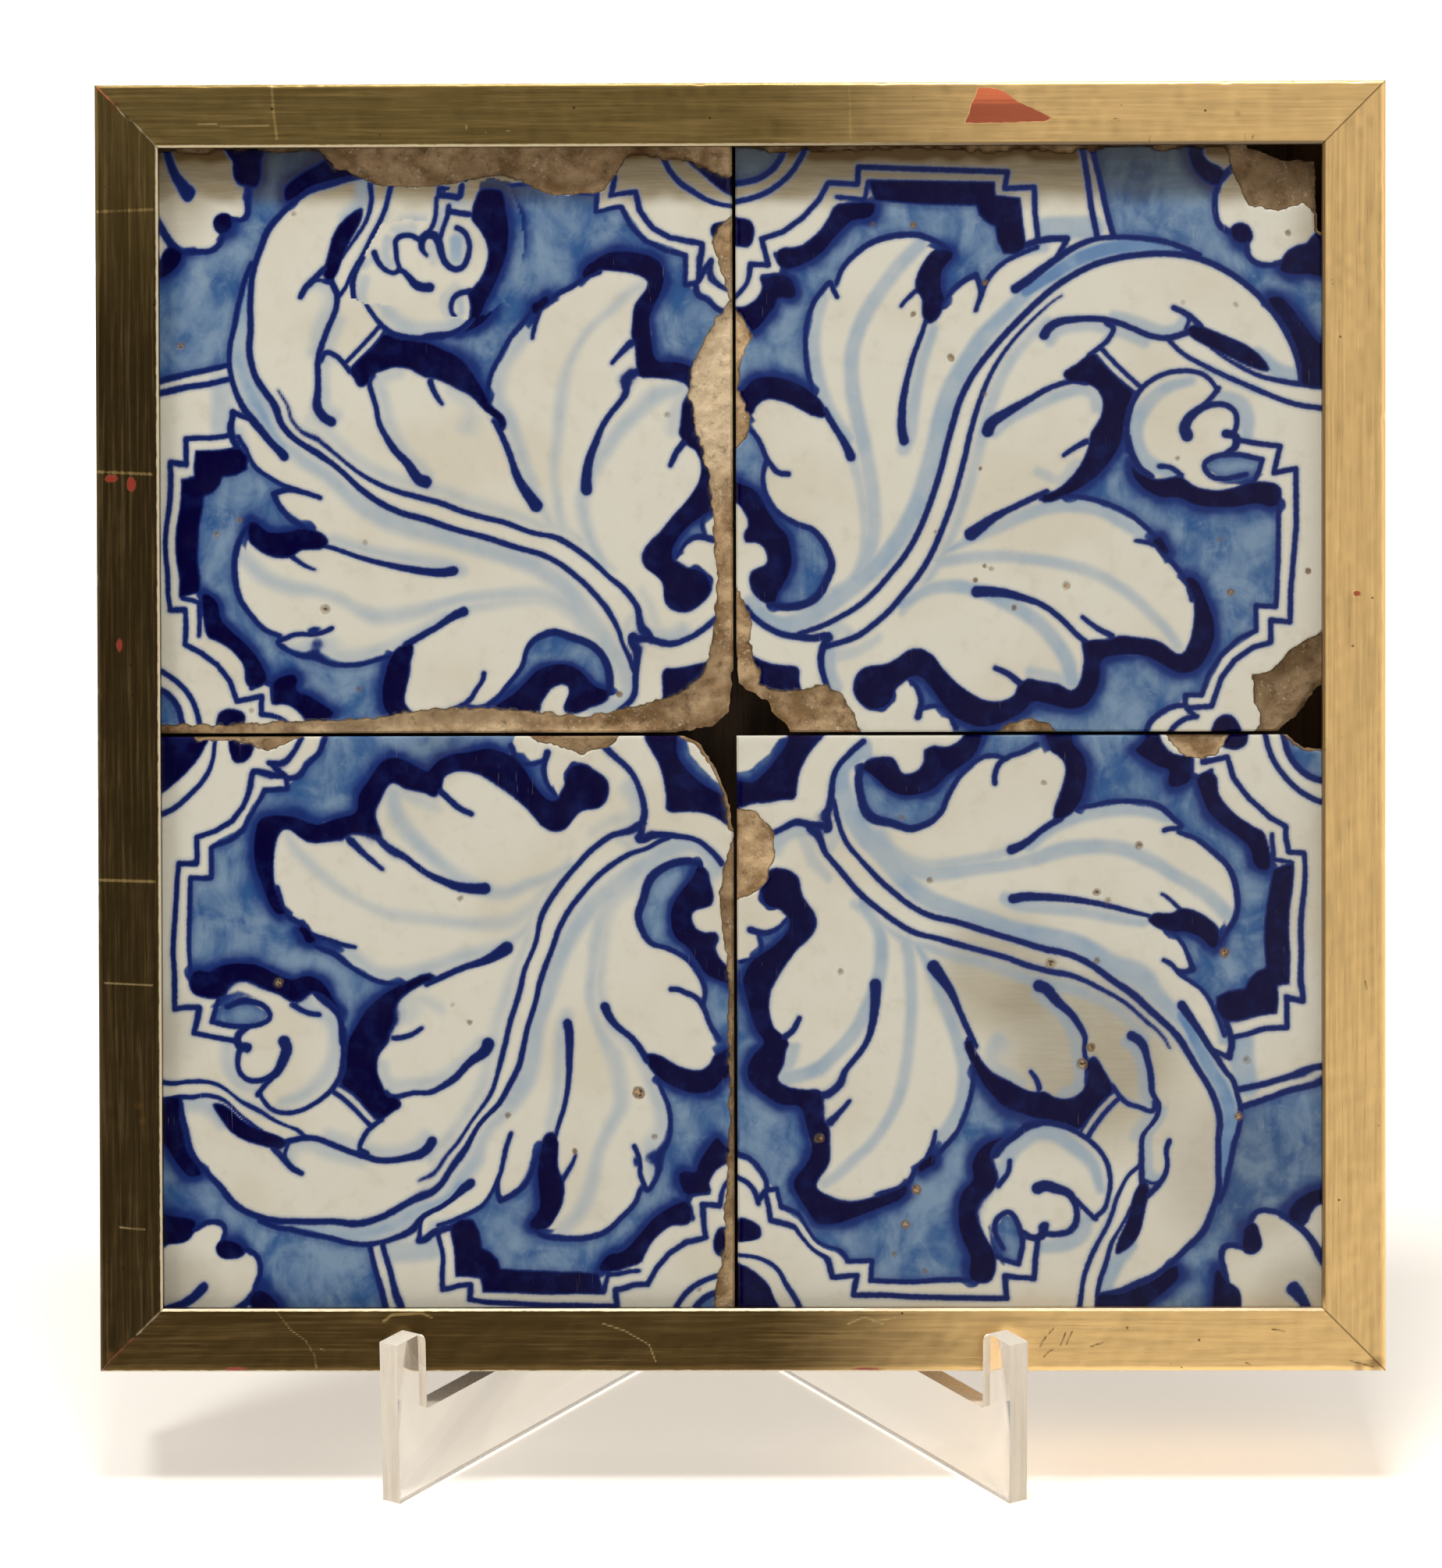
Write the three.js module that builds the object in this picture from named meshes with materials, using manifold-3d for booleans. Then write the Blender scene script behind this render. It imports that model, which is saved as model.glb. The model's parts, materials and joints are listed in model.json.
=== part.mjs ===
// A panel of four tin-glazed tiles in a gilded wooden frame, standing on a clear folding easel.
// Millimetres, +Z up. The tiles face -Y and lean back; the origin is under the middle of the whole,
// on the surface that the easel stands on.
import * as THREE from 'three';
import { mergeVertices } from 'three/addons/utils/BufferGeometryUtils.js';
import Module from 'manifold-3d';

const wasm = await Module();
wasm.setup();

// Driving dimensions of the tiles and what they are set on
const fit = 0.3; // clearance between two pieces that touch
const cutPast = 1; // how far a cutter runs past the face that it opens
const tileSide = 140;
const tileThickness = 13;
const tileJoint = 0.8; // gap between neighbouring tiles
const tilePlay = 3.1; // room left at the right and above, inside the rebate
const bedSide = 120;
const bedThickness = 2.4;
const boardThickness = 9;
const boardRecess = 0.2; // the board lies this far inside the back of the frame
const boardPlay = 0.5;
const glazeLossDepth = 2.5;

// Driving dimensions of the frame
const railWidth = 14.9;
const lipOverlap = 4.6;
const lipThickness = 4.5;
const railEdgeRadius = 1;
const sightBevel = 0.6;
const vNailLeg = 6;
const vNailThickness = 0.8;
const vNailDepth = 10;
const vNailInset = 3;

// Driving dimensions of what is screwed to the back of the frame
const screwShankRadius = 1.2;
const screwHeadRadius = 2.5;
const screwHeadThickness = 1.3;
const screwLength = 11;
const buttonLength = 24;
const buttonWidth = 8;
const buttonThickness = 2;
const buttonHeight = 105; // above and below the middle of the frame
const strapWidth = 5.4;
const strapLength = 33;
const strapThickness = 1.2;
const strapBelowTop = 85;
const strapScrewMargin = 3; // between the hanging ring and the upper screw
const strapEndMargin = 5; // below the lower screw
const loopRadius = 2.2;
const ringWireRadius = 0.9;
const ringHalfWidth = 4.2;
const ringDrop = 14;

// Driving dimensions of the easel
const leanAngle = THREE.MathUtils.degToRad(15);
const splayAngle = THREE.MathUtils.degToRad(32.5); // of each wing, off the line from front to back
const easelOffset = -8.9; // the panel isn't quite centred on its easel
const plateThickness = 5;
const footHalfSpan = 72; // middle of the easel to a wing's front inner corner
const postWidth = 11.5;
const postHeight = 40;
const postCornerRadius = 3;
const notchFloor = 20.4;
const wingHeight = 190;
const wingCornerRadius = 6;
const frontClearance = 0.4; // between the posts and the face of the frame

// Driving dimensions of the easel's two hinges
const knuckleRadius = 2.6;
const pinRadius = 1.2;
const pinHeadRadius = 2;
const pinHeadThickness = 1;
const leafThickness = 1.2;
const leafLength = 18;
const leafHeight = 40;
const knuckleCount = 5;
const hingeMargin = 22; // from the lower hinge to the foot, and from the upper one to the top of the wings
const hinges = [['lower', hingeMargin], ['upper', wingHeight - hingeMargin - leafHeight]];
const rivetShankRadius = 1.2;
const rivetHeadRadius = 2.6;
const rivetHeadThickness = 0.8;
const rivetSpacing = 24;

// Sizes that follow
const rebateHalf = (2 * tileSide + tileJoint + tilePlay + fit) / 2;
const sightHalf = rebateHalf - lipOverlap;
const frameHalf = sightHalf + railWidth;
const wallThickness = frameHalf - rebateHalf;
const tileFront = lipThickness + fit;
const bedFront = tileFront + tileThickness + fit;
const boardFront = bedFront + bedThickness + fit;
const railDepth = boardFront + boardThickness + boardRecess;
const meetingPoint = -rebateHalf + fit + tileSide + tileJoint / 2; // across and up from the middle
const sinLean = Math.sin(leanAngle);
const cosLean = Math.cos(leanAngle);
const sinSplay = Math.sin(splayAngle);
const cosSplay = Math.cos(splayAngle);
const panelY = postWidth * cosSplay + plateThickness * sinSplay + frontClearance;
const panelZ = notchFloor + fit + railDepth * sinLean;
const panelBackY = panelY + 2 * frameHalf * sinLean + railDepth * cosLean;
const wingLength = (footHalfSpan - fit / 2) / sinSplay;
const wingRearY = wingLength * cosSplay + plateThickness * sinSplay;
const rowShift = -Math.max(panelBackY, wingRearY) / 2;
const spineOffset = knuckleRadius + fit; // hinge axis to the inner face of a wing
const spineY = (footHalfSpan * cosSplay - spineOffset) / sinSplay;

const colours = {
  gilding: { color: 0xc79a4b, roughness: 0.35, metalness: 0.8 },
  glaze: { color: 0xd9d4c8, roughness: 0.15, metalness: 0 },
  mortar: { color: 0xb9ab93, roughness: 0.95, metalness: 0 },
  plywood: { color: 0x2b221a, roughness: 0.8, metalness: 0 },
  steel: { color: 0x9a9a98, roughness: 0.35, metalness: 1 },
  brass: { color: 0xb08d4c, roughness: 0.3, metalness: 1 },
  acrylic: { color: 0xe9e6df, roughness: 0.05, metalness: 0, transparent: true, opacity: 0.35 },
};

// Closed geometry and manifold solids

function toSolid(geometry) {
  const bare = geometry.clone();
  bare.deleteAttribute('normal');
  bare.deleteAttribute('uv');
  const merged = mergeVertices(bare, 1e-4);
  return new wasm.Manifold(new wasm.Mesh({
    numProp: 3,
    vertProperties: new Float32Array(merged.attributes.position.array),
    triVerts: new Uint32Array(merged.index.array),
  }));
}

function toGeometry(solid) {
  const mesh = solid.getMesh();
  const geometry = new THREE.BufferGeometry();
  geometry.setAttribute('position', new THREE.BufferAttribute(mesh.vertProperties, 3));
  geometry.setIndex(new THREE.BufferAttribute(mesh.triVerts, 1));
  return geometry;
}

function cut(geometry, cutters) {
  return toGeometry(cutters.reduce((solid, cutter) => solid.subtract(toSolid(cutter)), toSolid(geometry)));
}

function join(geometries) {
  const solids = geometries.map(toSolid);
  return toGeometry(solids.reduce((joined, solid) => joined.add(solid)));
}

// Shapes drawn on a face and given a thickness away from the viewer, along +Y

function outline(points) {
  return new THREE.Shape(points.map(([x, z]) => new THREE.Vector2(x, z)));
}

function slab(shape, front, thickness) {
  const geometry = new THREE.ExtrudeGeometry(shape, { depth: thickness, bevelEnabled: false, curveSegments: 6 });
  geometry.rotateX(Math.PI / 2);
  return geometry.translate(0, front + thickness, 0);
}

function block(left, right, front, back, bottom, top) {
  const shape = outline([[left, bottom], [right, bottom], [right, top], [left, top]]);
  return slab(shape, front, back - front);
}

function disc(radius, front, thickness, x, z) {
  const geometry = new THREE.CylinderGeometry(radius, radius, thickness, 20);
  return geometry.translate(x, front + thickness / 2, z);
}

function column(radius, bottom, height, x = 0, y = 0) {
  const geometry = new THREE.CylinderGeometry(radius, radius, height, 20);
  return geometry.rotateX(Math.PI / 2).translate(x, y, bottom + height / 2);
}

function crossBar(radius, length, y, z) {
  const geometry = new THREE.CylinderGeometry(radius, radius, length, 20);
  return geometry.rotateZ(Math.PI / 2).translate(0, y, z);
}

function closedTube(path, radius, sides) {
  const positions = [];
  const indices = [];
  path.forEach((point, step) => {
    const before = path[(step + path.length - 1) % path.length];
    const after = path[(step + 1) % path.length];
    const outward = new THREE.Vector2(after.y - before.y, before.x - after.x).normalize();
    for (let side = 0; side < sides; side += 1) {
      const angle = (2 * Math.PI * side) / sides;
      const reach = radius * Math.cos(angle);
      positions.push(point.x + outward.x * reach, radius * Math.sin(angle), point.y + outward.y * reach);
      const next = (side + 1) % sides;
      const here = step * sides;
      const there = ((step + 1) % path.length) * sides;
      indices.push(here + side, here + next, there + side, here + next, there + next, there + side);
    }
  });
  const geometry = new THREE.BufferGeometry();
  geometry.setAttribute('position', new THREE.Float32BufferAttribute(positions, 3));
  geometry.setIndex(indices);
  return geometry;
}

function add(parent, name, geometry, finish) {
  const mesh = new THREE.Mesh(geometry, new THREE.MeshStandardMaterial(colours[finish]));
  mesh.name = name;
  parent.add(mesh);
  return mesh;
}

// The frame: four mitred rails, and a V-shaped nail driven across the back of each mitre.
// In the panel's own axes x runs across, y is the depth behind the face, z runs up from the middle.

const corners = [['bottom_left', -1, -1], ['bottom_right', 1, -1], ['top_right', 1, 1], ['top_left', -1, 1]];
const screwHole = screwShankRadius + fit;

function railSection() {
  const section = new THREE.Shape();
  section.moveTo(railEdgeRadius, 0);
  section.lineTo(railWidth - sightBevel, 0);
  section.lineTo(railWidth, sightBevel);
  section.lineTo(railWidth, lipThickness);
  section.lineTo(wallThickness, lipThickness);
  section.lineTo(wallThickness, railDepth);
  section.lineTo(0, railDepth);
  section.lineTo(0, railEdgeRadius);
  section.absarc(railEdgeRadius, railEdgeRadius, railEdgeRadius, Math.PI, 1.5 * Math.PI, false);
  return section;
}

function mitredRail(quarterTurns) {
  const geometry = new THREE.ExtrudeGeometry(railSection(), { depth: 1, bevelEnabled: false, curveSegments: 4 });
  const position = geometry.attributes.position;
  const mitreGap = fit * Math.SQRT1_2;
  for (let i = 0; i < position.count; i += 1) {
    const [inward, depth, end] = [position.getX(i), position.getY(i), position.getZ(i)];
    const half = frameHalf - inward - mitreGap;
    position.setXYZ(i, (1 - 2 * end) * half, depth, inward - frameHalf);
  }
  return geometry.rotateY(-quarterTurns * Math.PI / 2);
}

function vNail(across, up, clearance) {
  const near = frameHalf - vNailInset;
  const half = vNailThickness / 2 + clearance;
  const far = near - vNailLeg - clearance;
  const points = [[near + half, near + half], [near + half, far], [near - half, far],
    [near - half, near - half], [far, near - half], [far, near + half]];
  const front = railDepth - vNailDepth - clearance * 2;
  return slab(outline(points.map(([x, z]) => [x * across, z * up])), front, vNailDepth + clearance * 3);
}

// Screws on the back of the side rails: [side, height] of each

const wallCentre = frameHalf - wallThickness / 2;
const buttonPlaces = [['left_lower', -1, -buttonHeight], ['left_upper', -1, buttonHeight],
  ['right_lower', 1, -buttonHeight], ['right_upper', 1, buttonHeight]];
const strapTop = frameHalf - strapBelowTop;
const upperScrew = strapTop - ringDrop - strapScrewMargin;
const strapScrews = [['upper', upperScrew], ['lower', strapTop - strapLength + strapEndMargin]];
const hangerPlaces = [['left', -1], ['right', 1]];

function pilotHole(side, height) {
  return disc(screwHole, railDepth - screwLength, screwLength + fit, side * wallCentre, height);
}

const pilotHoles = [
  ...buttonPlaces.map(([, side, height]) => pilotHole(side, height)),
  ...hangerPlaces.flatMap(([, side]) => strapScrews.map(([, height]) => pilotHole(side, height))),
];

function screw(side, height, seat) {
  const shank = disc(screwShankRadius, railDepth - screwLength + fit, screwLength + seat - railDepth, 0, 0);
  const head = disc(screwHeadRadius, seat, screwHeadThickness, 0, 0);
  return join([shank, head]).translate(side * wallCentre, 0, height);
}

function buildFrame(panel) {
  const pockets = corners.map(([, across, up]) => vNail(across, up, fit));
  ['bottom', 'right', 'top', 'left'].forEach((name, quarterTurns) => {
    add(panel, `rail_${name}`, cut(mitredRail(quarterTurns), [...pockets, ...pilotHoles]), 'gilding');
  });
  corners.forEach(([name, across, up]) => {
    add(panel, `v_nail_${name}`, vNail(across, up, 0).translate(0, -fit, 0), 'steel');
  });
}

// The tiles. Their losses are outlines in millimetres across and up from the point where the four
// tiles meet: some go right through, and the rest are shallow, where only glaze and a skin of clay went.

const throughLosses = {
  top_left: [
    [[1, 16], [-0.8, 14.8], [-0.9, 9], [-1.5, 5], [-5.3, 2], [-12, 0.8], [-18, -1], [1, -1]],
  ],
  top_right: [
    [[-1, 19], [0.6, 18.3], [0.9, 12.1], [5.6, 8.8], [8, 7.9], [8.9, 4.5], [11.7, 2.6], [14, -1], [-1, -1]],
    [[128, -1], [130.8, 2.7], [133.2, 3.9], [135.6, 7], [138, 11], [142, 14], [142, -1]],
    [[120, 142], [121.9, 138.4], [125.5, 136.9], [129.2, 135.8], [137.3, 135.1], [138, 119], [142, 116],
      [142, 142]],
  ],
  bottom_left: [
    [[1, 1], [-14.5, 1], [-8.6, -2.1], [-5.3, -6.8], [-3, -11.5], [-1.6, -15.8], [-0.7, -22.4], [1, -23]],
  ],
  bottom_right: [
    [[130, 1], [132.7, -2.5], [135.1, -3.7], [142, -4.2], [142, 1]],
  ],
};

const glazeLosses = {
  top_left: [
    [[1, 124], [-2.8, 121.2], [-5.3, 116.2], [-3.1, 109.5], [-0.9, 102.7], [-5.7, 96.2], [-9.6, 88.5],
      [-10.9, 80.5], [-8.9, 71.1], [-6.2, 61.1], [-4.4, 40.7], [-4.7, 24.9], [-7.6, 14.5], [-12.8, 9.8],
      [-21.6, 7], [-35.7, 4.3], [-54.2, 6.3], [-70.9, 6.4], [-85.7, 4.1], [-106.2, 3.2], [-133.6, 2.3],
      [-142, 2], [-142, -1], [1, -1]],
    [[-101, 142], [-94.4, 134.3], [-83.3, 129.7], [-70.3, 129.7], [-55.5, 132.6], [-42.6, 127.4],
      [-31.5, 128.1], [-24.4, 137], [-11.1, 135.4], [-0.4, 131.3], [1, 142]],
  ],
  top_right: [
    [[-1, 37], [2.6, 31.5], [4.1, 25.9], [3.5, 21.8], [6, 14.8], [5.5, 11.8], [11.7, 10.2], [21.8, 11.6],
      [25.1, 9.6], [28.8, 3.6], [30, -1], [-1, -1]],
    [[-1, 103], [2.6, 98.1], [4.1, 94], [1.7, 87], [1, 82], [3.8, 75.3], [3.1, 71.1], [-1, 65]],
    [[60, -1], [66.2, 2.7], [69.9, 3.8], [74.5, 2.5], [78, -1]],
    [[142, 26], [132.7, 20.7], [126.8, 14.8], [122.6, 13.8], [122.6, 9.1], [124.7, 2.3], [121, -1],
      [142, -1]],
    [[115.8, 142], [118.2, 131.1], [121.8, 124.6], [128.8, 123.5], [134.4, 125.1], [142, 118], [142, 142]],
  ],
  bottom_left: [
    [[1, -21], [-2.6, -31.6], [-4, -39], [-1.8, -57.6], [-1.5, -92.9], [-3.3, -122.7], [-6.4, -142],
      [1, -142]],
    [[-130.3, 1], [-127.5, -1.6], [-119.2, -1.2], [-110.8, -3.8], [-105.3, -1.4], [-100, 1]],
    [[-50.5, 1], [-46.8, -1.8], [-36.1, -4.8], [-29.2, -2.4], [-26, 1]],
  ],
  bottom_right: [
    [[-1, -17.9], [4.6, -18.6], [7.8, -21], [9.4, -24.7], [9.4, -29.5], [7.8, -33.8], [5.5, -37.1],
      [-1, -39.6]],
    [[101.5, 1], [103.5, -3.3], [106.9, -5.4], [110.5, -6.1], [114.6, -5], [118.3, 1]],
  ],
};

function placeLoss(points) {
  const reach = tileSide + tileJoint / 2;
  const asDrawn = 140.4;
  const follow = (value) => (Math.abs(value) > asDrawn / 2 ? value + Math.sign(value) * (reach - asDrawn) : value);
  return outline(points.map(([x, z]) => [meetingPoint + follow(x), meetingPoint + follow(z)]));
}

function buildTile(panel, name, across, up) {
  const [near, far] = [tileJoint / 2, tileJoint / 2 + tileSide];
  const square = outline([[near, near], [far, near], [far, far], [near, far]]
    .map(([x, z]) => [meetingPoint + x * across, meetingPoint + z * up]));
  const through = throughLosses[name].map((points) => slab(placeLoss(points), 0, railDepth));
  const shallow = glazeLosses[name].map((points) => slab(placeLoss(points), 0, tileFront + glazeLossDepth));
  add(panel, `tile_${name}`, cut(slab(square, tileFront, tileThickness), [...through, ...shallow]), 'glaze');
  const middle = tileJoint / 2 + tileSide / 2;
  const [x, z] = [meetingPoint + middle * across, meetingPoint + middle * up];
  const pad = block(x - bedSide / 2, x + bedSide / 2, bedFront, bedFront + bedThickness,
    z - bedSide / 2, z + bedSide / 2);
  add(panel, `bed_${name}`, pad, 'mortar');
}

function buildContents(panel) {
  buildTile(panel, 'top_left', -1, 1);
  buildTile(panel, 'top_right', 1, 1);
  buildTile(panel, 'bottom_left', -1, -1);
  buildTile(panel, 'bottom_right', 1, -1);
  const board = block(-rebateHalf + boardPlay, rebateHalf - boardPlay, boardFront, boardFront + boardThickness,
    -rebateHalf + fit, rebateHalf - boardPlay);
  add(panel, 'mounting_board', board, 'plywood');
}

// Turn buttons hold the board in; strap hangers with rings are for a wall

function turnButton(side) {
  const [tail, end] = [buttonWidth / 2, buttonLength - buttonWidth];
  const shape = new THREE.Shape();
  shape.absarc(0, 0, tail, Math.PI / 2, 1.5 * Math.PI, false);
  shape.absarc(end, 0, tail, -Math.PI / 2, Math.PI / 2, false);
  const plate = slab(shape, 0, buttonThickness);
  const holed = cut(plate, [disc(screwHole, -cutPast, buttonThickness + 2 * cutPast, 0, 0)]);
  return side < 0 ? holed : holed.rotateY(Math.PI);
}

function buildTurnButtons(panel) {
  const front = railDepth + fit;
  buttonPlaces.forEach(([name, side, height]) => {
    const geometry = turnButton(side);
    geometry.computeBoundingBox();
    geometry.translate(side * wallCentre, front - geometry.boundingBox.min.y, height);
    add(panel, `turn_button_${name}`, geometry, 'brass');
    add(panel, `button_screw_${name}`, screw(side, height, front + buttonThickness + fit), 'steel');
  });
}

function ringPath() {
  const bend = 1.6;
  const path = new THREE.Path();
  path.moveTo(0, 0);
  path.lineTo(ringHalfWidth - bend, 0);
  path.absarc(ringHalfWidth - bend, -bend, bend, Math.PI / 2, 0, true);
  path.lineTo(ringHalfWidth, ringHalfWidth - ringDrop);
  path.absarc(0, ringHalfWidth - ringDrop, ringHalfWidth, 0, -Math.PI, true);
  path.lineTo(-ringHalfWidth, -bend);
  path.absarc(-ringHalfWidth + bend, -bend, bend, Math.PI, Math.PI / 2, true);
  path.closePath();
  return path.getSpacedPoints(36).slice(0, -1);
}

function buildHangers(panel, upright) {
  const front = railDepth + fit;
  const loopDepth = front + loopRadius;
  hangerPlaces.forEach(([name, side]) => {
    const plate = block(-strapWidth / 2, strapWidth / 2, front, front + strapThickness,
      strapTop - strapLength, strapTop);
    const loop = crossBar(loopRadius, strapWidth, loopDepth, strapTop);
    const bore = crossBar(ringWireRadius + fit, strapWidth + 2 * cutPast, loopDepth, strapTop);
    const holes = strapScrews.map(([, height]) => {
      return disc(screwHole, front - cutPast, strapThickness + 2 * cutPast, 0, height);
    });
    const strap = cut(join([plate, loop]), [bore, ...holes]).translate(side * wallCentre, 0, 0);
    add(panel, `hanger_strap_${name}`, strap, 'steel');
    const ring = add(upright, `hanger_ring_${name}`, closedTube(ringPath(), ringWireRadius, 8), 'steel');
    ring.position.copy(panel.localToWorld(new THREE.Vector3(side * wallCentre, loopDepth, strapTop)));
    strapScrews.forEach(([place, height]) => {
      add(panel, `hanger_screw_${name}_${place}`, screw(side, height, front + strapThickness + fit), 'steel');
    });
  });
}

// The easel. In a wing's own axes x runs back along its inner face from the front foot, y is across the
// plate, away from the other wing on the left one and towards it on the right, and z is up.

const panelBackAtNotch = panelY + railDepth * cosLean; // the back lower edge of the frame
const supportGap = fit / cosLean;

function supportReach(height) {
  return (panelBackAtNotch + supportGap + (height - notchFloor - fit) * Math.tan(leanAngle)) / cosSplay;
}

function wingShape() {
  const shape = new THREE.Shape();
  const [top, slope] = [wingHeight - wingCornerRadius, wingLength - wingCornerRadius];
  shape.moveTo(0, 0);
  shape.lineTo(wingLength, 0);
  shape.lineTo(wingLength, top);
  shape.absarc(slope, top, wingCornerRadius, 0, Math.PI / 2, false);
  shape.lineTo(supportReach(wingHeight), wingHeight);
  shape.lineTo(supportReach(notchFloor), notchFloor);
  shape.lineTo(postWidth, notchFloor);
  shape.lineTo(postWidth, postHeight - postCornerRadius);
  shape.absarc(postWidth - postCornerRadius, postHeight - postCornerRadius, postCornerRadius, 0,
    Math.PI / 2, false);
  shape.lineTo(0, postHeight);
  return shape;
}

const spineReach = footHalfSpan * sinSplay + spineY * cosSplay; // hinge axis, along a wing
const rivetReach = spineReach - knuckleRadius - leafLength / 2;
const knuckleHeight = leafHeight / knuckleCount;

function rivetHeights(bottom) {
  const middle = bottom + leafHeight / 2;
  return [middle - rivetSpacing / 2, middle + rivetSpacing / 2];
}

function rivetHoles(bottom) {
  return rivetHeights(bottom).map((height) => {
    const hole = disc(rivetShankRadius + fit, -2 * plateThickness, 4 * plateThickness, 0, 0);
    return hole.translate(rivetReach, 0, height);
  });
}

function hingeLeaf(outward, bottom, first) {
  const [inner, outer] = [-outward * (fit + leafThickness), -outward * fit];
  const centre = -outward * spineOffset;
  const from = spineReach - knuckleRadius - fit - leafLength;
  const flat = (to, low, high) => {
    const shape = outline([[from, inner], [to, inner], [to, outer], [from, outer]]);
    return new THREE.ExtrudeGeometry(shape, { depth: high - low, bevelEnabled: false }).translate(0, 0, low);
  };
  const pieces = [flat(spineReach - knuckleRadius - fit, bottom, bottom + leafHeight)];
  for (let index = first; index < knuckleCount; index += 2) {
    const low = bottom + index * knuckleHeight + fit / 2;
    pieces.push(flat(spineReach, low, low + knuckleHeight - fit));
    pieces.push(column(knuckleRadius, low, knuckleHeight - fit, spineReach, centre));
  }
  const bore = column(pinRadius + fit, bottom - cutPast, leafHeight + 2 * cutPast, spineReach, centre);
  return cut(join(pieces), [bore, ...rivetHoles(bottom)]);
}

function rivet(outward, height) {
  const length = plateThickness + leafThickness + 3 * fit;
  const outerSeat = plateThickness + fit;
  const shank = disc(rivetShankRadius, outerSeat - length, length, 0, 0);
  const outerHead = disc(rivetHeadRadius, outerSeat, rivetHeadThickness, 0, 0);
  const innerHead = disc(rivetHeadRadius, outerSeat - length - rivetHeadThickness, rivetHeadThickness, 0, 0);
  const whole = join([shank, outerHead, innerHead]);
  return (outward < 0 ? whole.rotateX(Math.PI) : whole).translate(rivetReach, 0, height);
}

function buildWing(easel, name, outward) {
  const wing = new THREE.Group();
  wing.rotation.z = Math.PI / 2 - outward * splayAngle;
  wing.position.x = -outward * footHalfSpan;
  easel.add(wing);
  const plate = slab(wingShape(), outward > 0 ? 0 : -plateThickness, plateThickness);
  add(wing, `easel_wing_${name}`, cut(plate, hinges.flatMap(([, bottom]) => rivetHoles(bottom))), 'acrylic');
  hinges.forEach(([place, bottom]) => {
    add(wing, `hinge_leaf_${name}_${place}`, hingeLeaf(outward, bottom, outward > 0 ? 0 : 1), 'brass');
    rivetHeights(bottom).forEach((height, index) => {
      add(wing, `rivet_${name}_${place}_${index + 1}`, rivet(outward, height), 'brass');
    });
  });
}

function buildEasel(easel) {
  buildWing(easel, 'left', 1);
  buildWing(easel, 'right', -1);
  hinges.forEach(([place, bottom]) => {
    const shank = column(pinRadius, bottom + fit, leafHeight, 0, spineY);
    const head = column(pinHeadRadius, bottom + leafHeight + fit, pinHeadThickness, 0, spineY);
    add(easel, `hinge_pin_${place}`, join([shank, head]), 'brass');
  });
}

// Everything together

const group = new THREE.Group();
const standing = new THREE.Group();
standing.position.y = rowShift;
group.add(standing);

const easel = new THREE.Group();
easel.position.x = easelOffset;
standing.add(easel);
buildEasel(easel);

const panel = new THREE.Group();
panel.rotation.x = -leanAngle;
panel.position.set(0, panelY + frameHalf * sinLean, panelZ + frameHalf * cosLean);
standing.add(panel);
group.updateMatrixWorld(true);

buildFrame(panel);
buildContents(panel);
buildTurnButtons(panel);
buildHangers(panel, group);

export default group;
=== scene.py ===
"""A framed panel of four tin-glazed tiles on a clear folding easel, dressed and lit."""

from __future__ import annotations

import json
import logging
import math
from dataclasses import dataclass
from enum import Enum
from typing import Any, Iterable

import bpy
import numpy as np
from mathutils import Matrix, Vector

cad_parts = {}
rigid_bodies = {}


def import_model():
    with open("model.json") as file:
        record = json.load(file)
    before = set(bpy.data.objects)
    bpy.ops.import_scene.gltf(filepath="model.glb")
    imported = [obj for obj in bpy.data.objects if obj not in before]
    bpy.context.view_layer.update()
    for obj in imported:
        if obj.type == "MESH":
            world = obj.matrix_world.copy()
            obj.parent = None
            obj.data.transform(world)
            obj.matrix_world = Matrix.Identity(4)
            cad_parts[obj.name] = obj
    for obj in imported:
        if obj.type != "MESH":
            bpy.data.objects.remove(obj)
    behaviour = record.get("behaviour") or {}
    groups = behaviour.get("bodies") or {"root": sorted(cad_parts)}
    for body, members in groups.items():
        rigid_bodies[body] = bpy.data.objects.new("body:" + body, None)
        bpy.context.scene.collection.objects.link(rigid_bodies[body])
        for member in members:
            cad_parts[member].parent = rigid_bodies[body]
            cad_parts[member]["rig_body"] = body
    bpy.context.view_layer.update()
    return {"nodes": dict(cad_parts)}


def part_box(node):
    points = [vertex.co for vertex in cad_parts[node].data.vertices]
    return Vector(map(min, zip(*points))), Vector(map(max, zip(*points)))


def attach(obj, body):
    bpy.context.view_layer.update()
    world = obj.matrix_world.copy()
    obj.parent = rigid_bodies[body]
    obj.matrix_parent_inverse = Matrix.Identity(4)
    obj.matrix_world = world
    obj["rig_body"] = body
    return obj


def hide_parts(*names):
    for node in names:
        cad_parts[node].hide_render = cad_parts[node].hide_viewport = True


log = logging.getLogger("tile_panel")

MM = 0.001
Path = str
Stroke = tuple[tuple[float, ...], Path]
Shade = tuple[tuple[float, ...], float, Path]
Spot = tuple[float, float, float, float]

# The painted design, in millimetres across and up from the corner where the four tiles meet, as it
# lies on the top right tile. The other tiles hold the same design turned. A path is a string of points
# "across,up", and a stroke has the widths that the brush takes along it first.

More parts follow.
